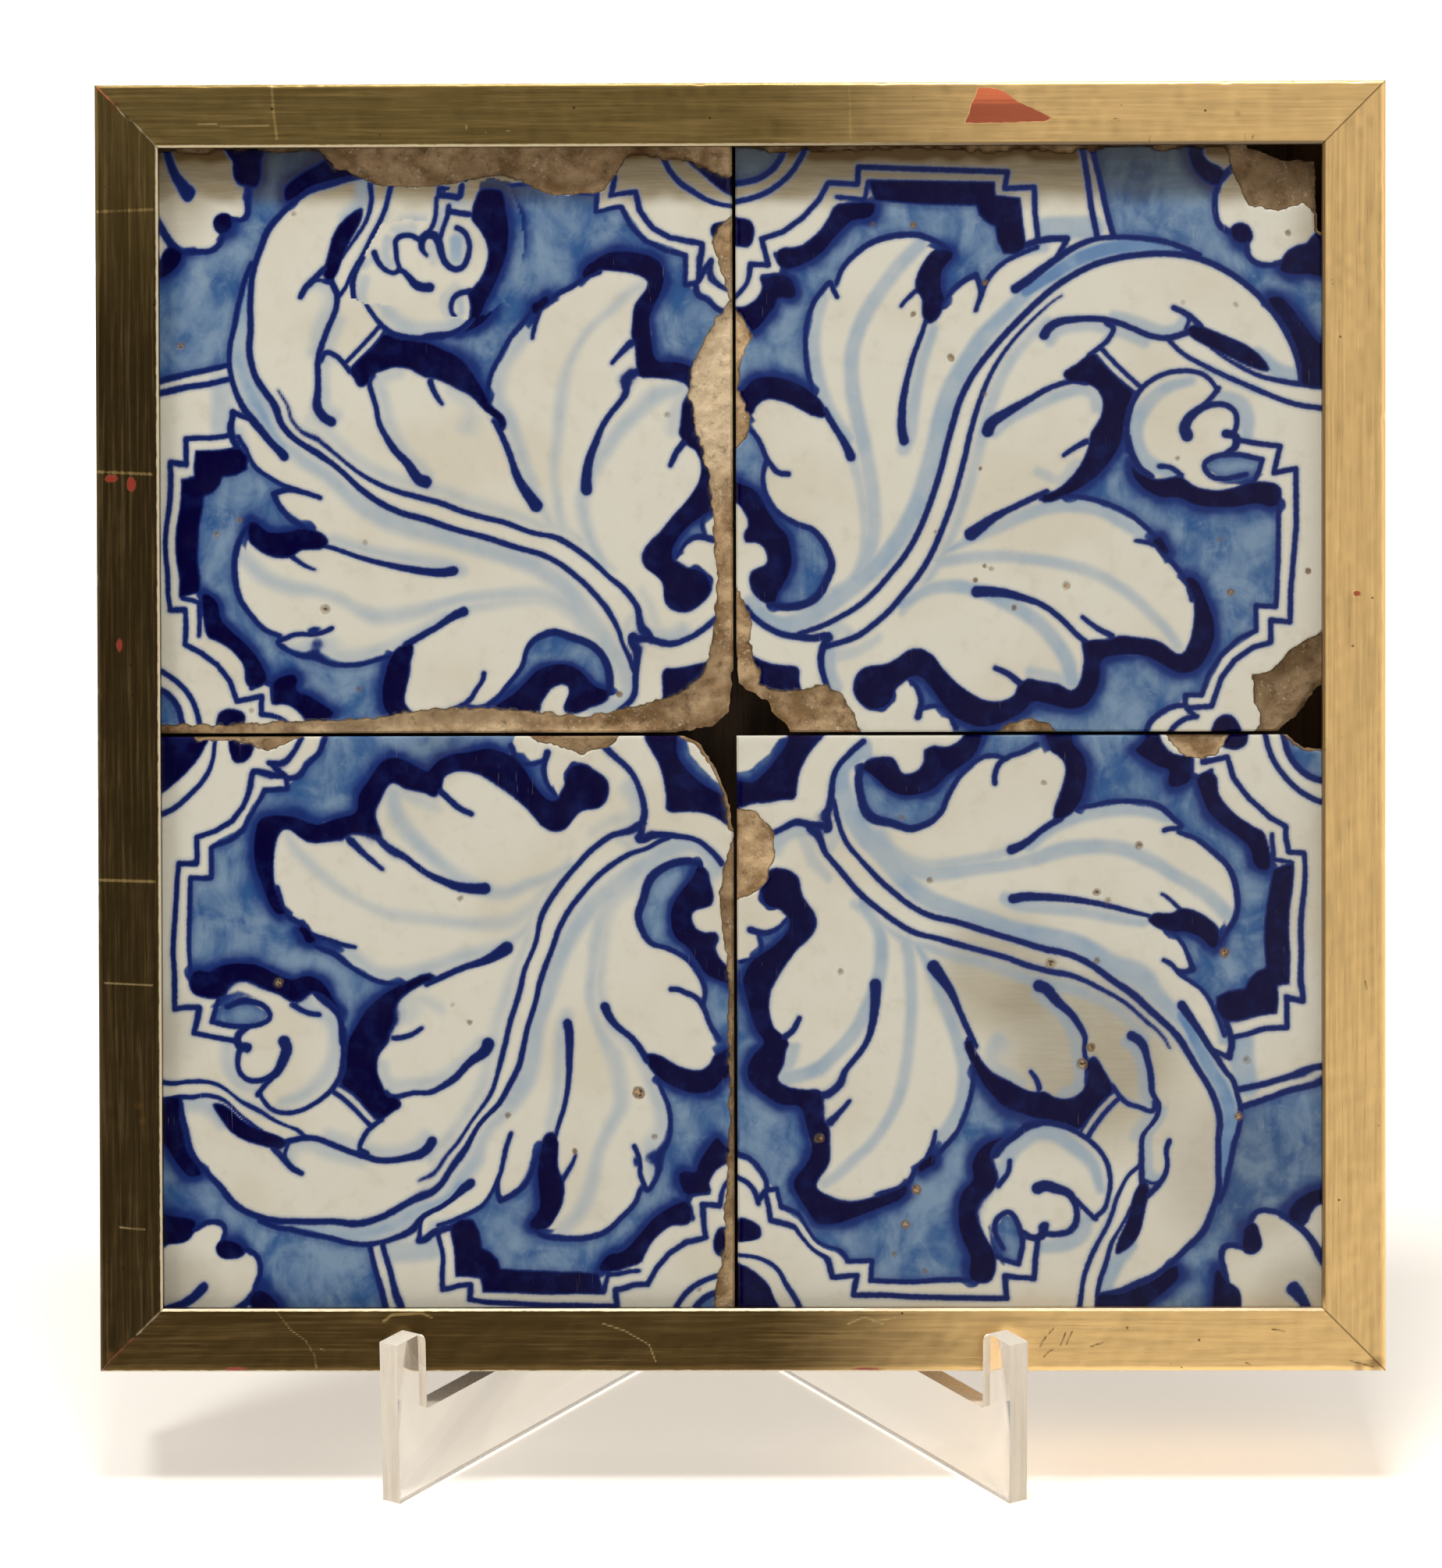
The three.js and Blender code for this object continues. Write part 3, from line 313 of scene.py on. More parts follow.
# How far the hand strayed from the design on each tile: a place in the design, and where the brush
# came to it on the top left, bottom left and bottom right tiles.
STRAYS: tuple[Path, ...] = (
    "41,117.9 38.8,118.5 38,119.7 39.9,118.9",
    "51.6,114.2 50.3,115.1 48.8,117.4 50.7,114.3",
    "24.4,103.4 25.3,95.5 24.2,97.8 23,101.6",
    "120.1,118 121.2,121.4 121.7,122.4 121.4,122.6",
    "114.5,129.5 114.2,131 114.6,132.4 115.9,131.4",
    "129.5,110.4 127.6,116 129,117.2 126.8,115",
    "127,130.6 127.4,129.6 128,132.4 132.8,131.2",
    "22.7,106.8 22,108.5 21.1,108.5 22.2,105.8",
    "16.9,92 16.5,92 15.5,92 16.1,92",
    "21.6,76.4 21.5,77.8 21.1,77.4 20.3,77",
    "27.6,65.6 29.2,64.3 31.1,64.7 27.6,65.5",
    "40.2,69.4 38.8,66.6 39.9,68.7 39.2,65.8",
    "57.3,108.5 57.2,109.3 56.1,110.8 56.1,108.5",
    "57.2,100.1 56.2,98.2 53.4,94.7 53.8,101.6",
    "78.9,117 76.5,118.9 75.3,120.5 76.8,117",
    "66.6,105.2 66.1,106.6 63,106.6 64.5,105.8",
    "101,113.4 101,114.7 101,115.8 101,114.5",
    "124.9,102.6 124.9,105.8 125.7,104.3 124.9,104.3",
    "134.2,83.5 132.5,87 132.2,86.6 133.4,86.6",
    "73.4,94.2 74.2,95.5 72.2,96.6 71.8,93.9",
    "84,98 84,98.5 83.4,101.2 84,98.5",
    "102.8,93.5 104.2,93.9 102.6,95.8 102.8,96.4",
    "104.1,100.6 103.8,102.8 103.4,104.3 96.5,102.8",
    "107.5,96 107.6,96.6 107.2,97.8 106.8,97.4",
    "126.8,85.9 124.9,88.2 124.5,87.8 123.8,90.5",
    "134.5,77.5 134.5,80.2 134.5,83.2 134.5,82",
    "60,71.6 59.9,73.2 58.8,73.5 59.9,72",
    "70,79.1 70.3,82.4 69.5,83.5 70,82",
    "77.8,85.2 82.6,88.9 79.5,88.2 76.5,85.1",
    "86,91 87.2,92 86,92.8 85.7,90.8",
    "89.8,95.8 90.7,96.6 89.5,98.2 89.9,98.9",
    "87.1,78.9 86.8,81.2 85,80.4 86.5,79.3",
    "78,65.8 78.4,69.3 74.5,69.7 80.3,70.1",
    "56,47.2 54.2,47 54.3,50.8 55.3,47",
    "71.8,56.2 71.8,55.5 71.1,58.2 71.8,55.8",
    "57.4,33.6 58,35.1 59.5,36.6 59.5,33.2",
    "80,56.2 81.1,58.5 81.1,59.3 81,56.6",
    "101.8,44 102.6,45.5 102.6,47 103,44.7",
    "95,45.6 93.8,47.8 90.3,50.5 94.5,47.4",
    "108.2,37.3 109.5,36.2 108.4,43.2 108.8,41.2",
    "106.5,20 107.6,21.6 107.6,23.5 108.4,20.5",
    "113.8,25 114.5,27.4 114.5,29 116.8,22",
    "105.7,13.8 108,16.2 109.5,18.9 107.2,12",
    "87.2,17.2 88.8,18.2 90.3,18.2 88.8,15.1",
    "80.5,5.5 81,5 81.5,5.1 80.7,2.4",
    "82.4,27.5 88,28.9 83.8,32 87.2,27",
    "76.5,28 77,28.6 76.6,30.6 77,28.6",
    "79.6,10.2 81.5,10.8 81.1,11.6 81.5,10.1",
    "92.7,71 93.8,74.3 93,74.3 92.2,72.8",
    "106,85.7 106.5,88.9 106.5,90 106,88.9",
    "107.2,70.4 107.2,70.8 107.4,72.8 108,71.6",
    "114.5,77.8 114.2,78.5 114.2,82.4 113.8,80.8",
    "114.5,81.2 115.3,83.2 113.4,85.1 115.3,85.1",
    "111.3,63 111.8,65.1 110.7,66.6 113.8,64.3",
    "125,64.6 125.3,65.5 124.5,68.2 126.1,67",
    "114,53.1 118,50.1 117.2,53.9 113.4,52.4",
    "94.3,60.5 96.5,60.5 96.5,60.5 96.8,59.7",
    "100.6,63.2 100.3,64.7 98.8,66.6 101.5,65.1",
    "29.4,134.5 29.5,134.3 28.2,136.4 28.4,135.1",
    "64.8,133.3 64.9,134.3 63.4,134.7 63.8,135.1",
    "64.1,128.9 64.5,130.1 63.4,130.8 63,130.8",
    "71.1,129.2 70.3,130.1 69.9,132 69.9,130.8",
    "72,116.8 71.1,119.7 71.3,118.2 72.4,117.9",
    "22.4,130.4 21.5,130.5 21.1,130.8 22.2,130.5",
    "6.6,117.2 8,118.2 7.2,119.7 5.7,116.6",
    "8.2,111 9.2,112.4 8,111.6 6.8,111.2",
    "45,125.1 45,127.2 45,127.5 45,125.4",
    "31.8,130.7 32.6,131.6 31.5,132.8 30.7,132.2",
    "62,130.5 60.7,131.2 60.3,132.8 59.5,131.2",
    "67,113.4 66.1,115.5 65.7,115.1 65.7,113.9",
    "14.6,106.6 14.2,107.4 13.4,107.4 12.6,106.2",
    "9.8,113.5 11.1,114.7 10.3,115.1 9.2,112.4",
    "132.9,62.5 133,63.4 133.4,65.1 134.2,64.3",
    "129.2,67.8 129.5,69.7 128.8,70.8 129.5,70.8",
    "131.5,26.2 131.8,28.2 132.2,30.5 133.4,27.8",
    "127,21.4 128.4,23.2 128,24.3 129.2,22.8",
    "128.2,29.8 128,32.4 129.5,33.9 129.9,32",
    "123.5,24.2 124.9,26.6 124.5,26.6 125.3,26.6",
    "110.6,9 113.4,11.6 111.8,13.2 112.2,10.8",
    "113,6.3 116.1,7.4 114.5,8.5 115.7,8.2",
    "106.7,9 106.1,11.6 106.1,12.8 108,10.8",
    "98.4,2.6 100.7,3.9 98.8,4.3 101.1,3.5",
    "134.6,16 133.4,15.1 133.4,17.4 133.4,13.5",
    "131.4,7 130.3,5.1 128.8,7.4 128.8,5.8",
    "118,119.8 119.5,122.4 117.2,123.9 116.5,123.5",
    "127.2,111.9 128.8,115.1 125.7,117 128.8,117.4",
    "114.9,128 115.7,127.4 114.2,128.9 114.5,128.9",
    "126.6,130.6 129.2,128.2 126.5,130.8 131.1,132.8",
    "86,117.6 84.5,119.7 84.5,121.2 84.5,119.3",
    "89.8,117.6 87.6,120.1 86.8,121.6 88.8,120.1",
    "82.8,136.6 81.1,135.1 79.2,137 79.2,137",
    "85.3,136.2 84.5,135.1 83.6,136.4 83.8,136.6",
    "110.2,113 111.8,114.3 113.4,115.5 111.1,114.7",
    "47.6,58.2 46.5,58.2 46.3,58.2 46.5,58.2",
    "37.2,38.2 38,38.2 36.8,38.2 38.2,38.2",
    "24.9,27.6 24.9,27.4 24.9,28.2 24.9,25.8",
    "56.1,84.2 55.1,84.2 54.5,84.2 54.8,84.2",
    "71.3,101.6 71.1,105.5 71.1,108.2 71.1,104.3",
    "53.3,60.5 51.7,60.5 51.1,60.5 52.1,60.5",
    "44.2,38.4 44.5,38.4 43.4,38.4 44.9,38.4",
    "60.5,84.5 59.5,84.5 57.6,84.5 59.5,84.5",
    "32.6,25.6 32.6,24.7 32.6,26.2 32.6,25.1",
    "77.6,103.6 81.8,108.2 75.3,105.8 74.2,102.4",
    "20.6,20.4 22.2,19.3 21.8,20.8 21.1,16.6",
    "22.4,22.8 23.4,24.7 23,25.1 22.6,22",
    "3.6,28.6 6.8,25.8 4.2,29.3 2.6,29.3",
    "14.9,23 14.9,23.5 15.7,23.9 15.7,22.8",
    "22,11 22.2,12 23,12 23,10.1",
    "23,39.7 24.2,42.4 23,42.8 22.5,41.2",
    "12.8,30.1 13.4,29.7 11.8,30.1 11.1,29.3",
    "3.6,36 4.9,38.2 5.3,38.2 5.7,35.1",
    "7.7,42 11.8,41.2 10.3,43.9 9.5,41.2",
    "10.8,52 10.3,55.1 11.8,53.2 10.3,53.2",
    "12.8,61.6 14.5,59.3 15.3,60.5 11.8,61.6",
    "7.5,65.4 6.8,64.7 7.6,64.7 5.7,64.3",
    "7,84.8 8.8,83.9 8,85.5 8,83.5",
    "9.5,79.1 9.5,78.2 10.3,79.7 9.5,78.2",
    "28,11.4 28.8,12.8 29.9,13.5 31.8,10.5",
    "32,5.6 33.8,5.5 35.7,7 36.4,6",
    "44.2,20.2 42.6,22 43.4,23.2 45.7,19.3",
    "61.5,7.8 62.6,7.8 64.9,8.9 64.2,8.2",
    "61.8,15.5 63.8,15.1 62.6,18.9 67.6,15.1",
    "61.8,1.7 61.8,4 61.8,3.5 61.8,2",
    "43.4,4 46.1,5.1 44.5,4.3 46.5,3.5",
    "15,15.8 15.3,17 16.1,18.5 15.3,14.3",
    "19.4,-1 20,-1 21.5,-0.5 18,-1",
)

# The top left tile's bud, drawn there another way: where it holds, and its own strokes, fills and shades
BUD_REGION: Path = (
    "99,68.5 101.5,72 101,78 102,84 102.6,88.6 103.4,91.2 107.4,91.2 110,89.8 114,87.4 "
    "118,85 121,83.3 122,78 121.8,72.4 126.6,72.2 131,64 132,57 129.5,53 124,50.6 116,49.6 108,51.2 "
    "103,54.2 99.6,58.4 98.4,62.5"
)
BUD_STROKES: tuple[Stroke, ...] = (
    ((1.3, 1.5, 1.5, 1.4), "101,89 103.5,90.1 106.5,90.4 109.5,89.8 113,88"),
    ((1.6, 1.4, 1.2, 1.3, 1.7, 2.2, 2.4), "114.2,85.2 112.2,84.4 110.3,82.8 109.4,80.8 110,78.8 108.4,77 "
        "106.8,75.6 106,73.9 106,72.1"),
    ((1.1, 1.3, 1.4, 1.4), "110.2,79 112.2,79.8 114.5,80 117,80.1 118.2,78.6 118.2,76.4 117.4,74.8"),
    ((1.0, 1.8, 2.2, 2.0, 1.7, 1.6, 1.5, 1.4, 1.4, 1.5), "113.5,72.8 115,73.8 117,73.9 118.4,72.8 118.2,71 "
        "116.6,69.9 113.8,69.2 111.6,68.2 110.3,66.4 110.6,64.4 112.6,63.2 115.6,62.6 118.2,63.3 "
        "119.6,64.6 120,65.6"),
    ((1.2, 1.2, 1.1), "118.6,72.8 120.4,71.4 123.4,70.6 128.4,70.4"),
    ((1.5, 1.7, 1.5), "127.8,70.3 127.6,67.6 127.4,65 130,64.4"),
    ((1.2, 1.2, 1.3), "117.6,69.6 120.4,68.7 123,67.8 125.2,67.5"),
    ((1.6, 1.5, 1.5), "124,67.6 123.6,65.4 123.2,62.6"),
    ((1.0, 1.2, 1.4, 1.6), "98.6,65.8 100.2,66.9 102,67 103.6,66.3 104.6,64.8 105,62.8"),
)
BUD_FILLS: tuple[Path, ...] = (
    "93,64 96,63.2 99,62.7 102,62.6 104.6,63.2 106,61.9 108.2,60 111,58.8 114,58.3 117,58.9 119.6,60.4 "
        "122,62.2 124.4,62 126.6,61.4 129.2,60 129.4,57 128.6,54.6 124.5,53.6 119,53 113.5,53.6 108.6,55.4 "
        "104.4,57.4 99.6,59.6 93,61",
)
BUD_WASH: Path = (
    "93,62 99.6,61 104.4,59.6 108.6,57.6 113.5,56 119,55.4 124.5,57 129.4,58.5 133,58 "
    "133,40 93,40"
)
BUD_SHADES: tuple[Shade, ...] = (
    ((2.2, 2.2), 0.75, "111.6,81.6 114,82.6 117.4,82"), ((2.0, 2.4), 0.5, "119.6,80.4 120,76"),
    ((2.4, 2.4), 0.55, "100,87.2 104,88.2 108,87.4"), ((1.4, 1.4), 0.7, "112.4,86 111,87.6"),
    ((3.0, 3.4), 1.0, "113,65.8 117,65.8"), ((1.6, 2.0), 0.8, "100,64.6 102.6,64.8"),
    ((2.6, 2.6), 0.35, "99,68 103,68.6 106,66"), ((2.0, 2.0), 0.45, "112,71.2 115.6,71.6"),
    ((1.6, 1.6), 0.6, "120,70 124,69 125.8,66 125.6,63"),
)

# Where a tile is gone right through, in millimetres across and up from where the four tiles meet
THROUGH_LOSSES: dict[str, tuple[Path, ...]] = {
    "top_left": (
        "1,16 -0.8,14.8 -0.9,9 -1.5,5 -5.3,2 -12,0.8 -18,-1 1,-1",
    ),
    "top_right": (
        "-1,19 0.6,18.3 0.9,12.1 5.6,8.8 8,7.9 8.9,4.5 11.7,2.6 14,-1 -1,-1",
        "128,-1 130.8,2.7 133.2,3.9 135.6,7 138,11 142,14 142,-1",
        "120,142 121.9,138.4 125.5,136.9 129.2,135.8 137.3,135.1 138,119 142,116 142,142",
    ),
    "bottom_left": (
        "1,1 -14.5,1 -8.6,-2.1 -5.3,-6.8 -3,-11.5 -1.6,-15.8 -0.7,-22.4 1,-23",
    ),
    "bottom_right": (
        "130,1 132.7,-2.5 135.1,-3.7 142,-4.2 142,1",
    ),
}

# Where only the glaze and a skin of clay went
GLAZE_LOSSES: dict[str, tuple[Path, ...]] = {
    "top_left": (
        "1,124 -2.8,121.2 -5.3,116.2 -3.1,109.5 -0.9,102.7 -5.7,96.2 -9.6,88.5 -10.9,80.5 -8.9,71.1 "
            "-6.2,61.1 -4.4,40.7 -4.7,24.9 -7.6,14.5 -12.8,9.8 -21.6,7 -35.7,4.3 -54.2,6.3 -70.9,6.4 "
            "-85.7,4.1 -106.2,3.2 -133.6,2.3 -142,2 -142,-1 1,-1",
        "-101,142 -94.4,134.3 -83.3,129.7 -70.3,129.7 -55.5,132.6 -42.6,127.4 -31.5,128.1 -24.4,137 "
            "-11.1,135.4 -0.4,131.3 1,142",
    ),
    "top_right": (
        "-1,37 2.6,31.5 4.1,25.9 3.5,21.8 6,14.8 5.5,11.8 11.7,10.2 21.8,11.6 25.1,9.6 28.8,3.6 30,-1 "
            "-1,-1",
        "-1,103 2.6,98.1 4.1,94 1.7,87 1,82 3.8,75.3 3.1,71.1 -1,65",
        "60,-1 66.2,2.7 69.9,3.8 74.5,2.5 78,-1",
        "142,26 132.7,20.7 126.8,14.8 122.6,13.8 122.6,9.1 124.7,2.3 121,-1 142,-1",
        "115.8,142 118.2,131.1 121.8,124.6 128.8,123.5 134.4,125.1 142,118 142,142",
    ),
    "bottom_left": (
        "1,-21 -2.6,-31.6 -4,-39 -1.8,-57.6 -1.5,-92.9 -3.3,-122.7 -6.4,-142 1,-142",
        "-130.3,1 -127.5,-1.6 -119.2,-1.2 -110.8,-3.8 -105.3,-1.4 -100,1",
        "-50.5,1 -46.8,-1.8 -36.1,-4.8 -29.2,-2.4 -26,1",
    ),
    "bottom_right": (
        "-1,-17.9 4.6,-18.6 7.8,-21 9.4,-24.7 9.4,-29.5 7.8,-33.8 5.5,-37.1 -1,-39.6",
        "101.5,1 103.5,-3.3 106.9,-5.4 110.5,-6.1 114.6,-5 118.3,1",
    ),
}

# Pits in the glaze, as they lie in the design: across, up and radius in millimetres
PITS: dict[str, tuple[tuple[float, float, float], ...]] = {
    "top_right": (
        (42.5, 120.3, 0.7), (33, 120.5, 0.6), (59.5, 106.6, 0.6), (42.4, 99.3, 0.6), (51.3, 88.9, 0.7),
        (59.5, 80.1, 0.5), (78.5, 34.9, 0.9), (115.1, 45.8, 0.5), (117.5, 33.2, 0.7), (135.8, 38.3, 0.6),
        (104.9, 65.1, 0.5), (59.2, 39.7, 0.5), (60.9, 38.9, 0.4), (57.1, 36.5, 0.5), (58.2, 62.8, 0.4),
        (66.2, 29.7, 0.5), (47.6, 47.8, 0.4), (131.1, 118.2, 0.6), (106.2, 101.8, 0.5), (118.8, 101.2, 0.5),
    ),
    "top_left": (
        (47.5, 122.9, 0.8), (29.9, 97.2, 1.0), (51.1, 117.4, 0.5), (92.2, 131.2, 0.8), (10.7, 89.3, 0.6),
        (45.5, 87.6, 0.5), (5.7, 114.7, 0.5), (123.4, 104.3, 0.6), (75.5, 15.8, 0.6), (9.5, 27.4, 0.6),
    ),
    "bottom_left": (
        (23, 85.1, 1.4), (19.2, 95.6, 0.6), (54.2, 90.5, 0.6), (8.8, 132, 0.5), (38.4, 99.1, 0.5),
        (63.2, 68.4, 0.5), (67.2, 64.2, 0.5), (65.3, 38.9, 0.6), (108.5, 58.9, 1.0),
    ),
    "bottom_right": (
        (26.7, 95.6, 0.9), (37.8, 85.8, 0.8), (39.8, 88.4, 0.6), (52.1, 116, 1.1), (54.5, 74.8, 1.2),
        (54, 85.8, 0.6), (77.6, 121.1, 0.9), (90.9, 119.3, 1.0), (74.5, 84.3, 0.9), (78.5, 82.2, 1.2),
        (108.2, 42.9, 1.1), (116.6, 40.2, 1.0), (96.1, 19.8, 1.0), (123.6, 37.6, 0.6), (127.6, 44.8, 0.6),
        (56.5, 24.9, 0.6), (19.9, 39.5, 0.6), (34.8, 46.1, 0.6), (11.7, 73.2, 0.6),
    ),
}

# Where the bare clay is greyed by damp and dirt: across, up, reach in millimetres, and how much
TONES: dict[str, tuple[Spot, ...]] = {
    "top_right": ((136, 134, 34, 0.9), (137, 6, 30, 0.8), (20, 8, 40, 0.25)),
    "top_left": ((-60, 134, 60, 0.45), (-8, 8, 24, 0.4), (-5, 84, 34, -1.0), (-80, 5, 50, -0.3)),
    "bottom_left": ((-2, -70, 90, 0.5), (-120, 0, 40, 0.7), (-38, 0, 24, 0.6)),
    "bottom_right": ((110, 0, 22, 0.2), (138, 0, 16, 0.8)),
}

# Where the glaze is soiled or rubbed dull: across, up, reach in millimetres, and how much
STAINS: dict[str, tuple[Spot, ...]] = {
    "top_right": ((100, 144, 22, 0.4), (50, 146, 16, 0.4), (142, 120, 14, 0.4)),
    "top_left": ((-130, 142, 22, 0.6), (-133, 126, 14, 0.35), (-60, 120, 12, 0.15)),
    "bottom_left": ((-133, -133, 14, 0.35), (-70, -4, 10, 0.3), (-134, -70, 12, 0.2)),
    "bottom_right": ((84, -76, 30, 0.55), (62, -56, 20, 0.45), (118, -104, 26, 0.35), (134, -134, 14, 0.4)),
}


def linear(code: str) -> tuple[float, float, float, float]:
    """A colour as the shaders want it.

    Args:
        code: The sRGB colour as six hex digits.

    Returns:
        Linear red, green and blue, and full opacity.
    """
    shares = [int(code[i:i + 2], 16) / 255 for i in (0, 2, 4)]
    red, green, blue = (s / 12.92 if s <= 0.04045 else ((s + 0.055) / 1.055) ** 2.4 for s in shares)
    return red, green, blue, 1.0


def add_node(tree: bpy.types.NodeTree, kind: str, inputs: dict[Any, Any] | None = None,
             **settings: Any) -> bpy.types.Node:
    """Adds a shader node with its settings and links.

    Args:
        tree: The node tree that it goes into.
        kind: The node's type name.
        inputs: A socket to link or a value to set, for each input's name or index.
        **settings: Attributes to set on the node before its inputs.

    Returns:
        The new node.
    """
    made = tree.nodes.new(kind)
    for name, value in settings.items():
        setattr(made, name, value)
    for name, value in (inputs or {}).items():
        socket = made.inputs[name]
        if isinstance(value, bpy.types.NodeSocket):
            tree.links.new(value, socket)
        else:
            socket.default_value = value
    return made


class Node(Enum):
    """The nodes that the finishes use: type, inputs in the order given, output and settings."""

    NOISE = ("ShaderNodeTexNoise", ("Scale", "Detail", "Vector", "Roughness", "Distortion"), "Fac", {})
    CELLS = ("ShaderNodeTexVoronoi", ("Scale", "Vector"), "Distance", {})
    STORED = ("ShaderNodeAttribute", (), "Fac", {})
    RAMP = ("ShaderNodeMapRange", ("Value", "From Min", "From Max", "To Min", "To Max"), "Result",
            {"interpolation_type": "SMOOTHSTEP"})
    MIX = ("ShaderNodeMix", (0, 6, 7), 2, {"data_type": "RGBA"})
    BUMP = ("ShaderNodeBump", ("Height", "Distance", "Strength", "Normal"), "Normal", {})
    ADD = ("ShaderNodeMath", (0, 1), 0, {"operation": "ADD"})
    SUBTRACT = ("ShaderNodeMath", (0, 1), 0, {"operation": "SUBTRACT"})
    MULTIPLY = ("ShaderNodeMath", (0, 1), 0, {"operation": "MULTIPLY"})
    MULTIPLY_ADD = ("ShaderNodeMath", (0, 1, 2), 0, {"operation": "MULTIPLY_ADD"})
    MAXIMUM = ("ShaderNodeMath", (0, 1), 0, {"operation": "MAXIMUM"})
    ABSOLUTE = ("ShaderNodeMath", (0,), 0, {"operation": "ABSOLUTE"})


class Shader:
    """One material's node tree, whose patterns are measured in millimetres."""

    def __init__(self, name: str) -> None:
        """Starts an empty material of that name."""
        self.material = bpy.data.materials.new(name)
        self.material.use_nodes = True
        self.tree = self.material.node_tree
        self.tree.nodes.clear()
        self.place = add_node(self.tree, "ShaderNodeTexCoord").outputs["Object"]
        self.millimetres = add_node(self.tree, "ShaderNodeVectorMath", {0: self.place, 3: 1 / MM},
                                    operation="SCALE").outputs[0]

    def add(self, node: Node, *values: Any, **others: Any) -> bpy.types.NodeSocket:
        """Adds a node of the kinds that the finishes use.

        Args:
            node: Its kind.
            *values: Sockets, numbers or hex colours for its inputs, in the kind's order.
            **others: Inputs by their names, which are capitals, and settings.

        Returns:
            Its output.
        """
        kind, sockets, output, settings = node.value
        inputs = dict(zip(sockets, values))
        inputs.update({name: others.pop(name) for name in list(others) if name[0].isupper()})
        if "Vector" in sockets:
            inputs.setdefault("Vector", self.millimetres)
        inputs = {name: linear(value) if isinstance(value, str) else value for name, value in inputs.items()}
        return add_node(self.tree, kind, inputs, **settings, **others).outputs[output]

    def ragged(self, name: str, pattern: bpy.types.NodeSocket, reach: float) -> bpy.types.NodeSocket:
        """The value that the mesh stores under a name, shifted by a pattern over this reach in all."""
        shift = self.add(Node.MULTIPLY_ADD, pattern, reach, -reach / 2)
        return self.add(Node.ADD, self.add(Node.STORED, attribute_name=name), shift)

    def finish(self, **inputs: Any) -> bpy.types.Material:
        """Ends in a Principled shader with these inputs, by name with _ for a space."""
        named = {name.replace("_", " "): value for name, value in inputs.items()}
        shader = add_node(self.tree, "ShaderNodeBsdfPrincipled", named)
        add_node(self.tree, "ShaderNodeOutputMaterial", {"Surface": shader.outputs["BSDF"]})
        return self.material


@dataclass(frozen=True)
class PanelAxes:
    """The leaning panel's own axes: millimetres across, up and out of its face, from its middle."""

    centre: Vector
    lean: float

    def matrix(self) -> Matrix:
        """Turns the panel's millimetres into metres in the room."""
        sine, cosine = math.sin(self.lean), math.cos(self.lean)
        turned = Matrix(((1, 0, 0), (0, sine, -cosine), (0, cosine, sine)))
        return Matrix.Translation(self.centre) @ (turned * MM).to_4x4()

    def measured(self, shader: Shader, across: float = 1, deep: float = 1,
                 up: float = 1) -> bpy.types.NodeSocket:
        """Places on the panel, across, deep and up, divided by so many millimetres."""
        return add_node(shader.tree, "ShaderNodeMapping", {
            "Vector": shader.place, "Location": self.centre, "Rotation": (-self.lean, 0, 0),
            "Scale": Vector((across, deep, up)) * MM}, vector_type="TEXTURE").outputs["Vector"]


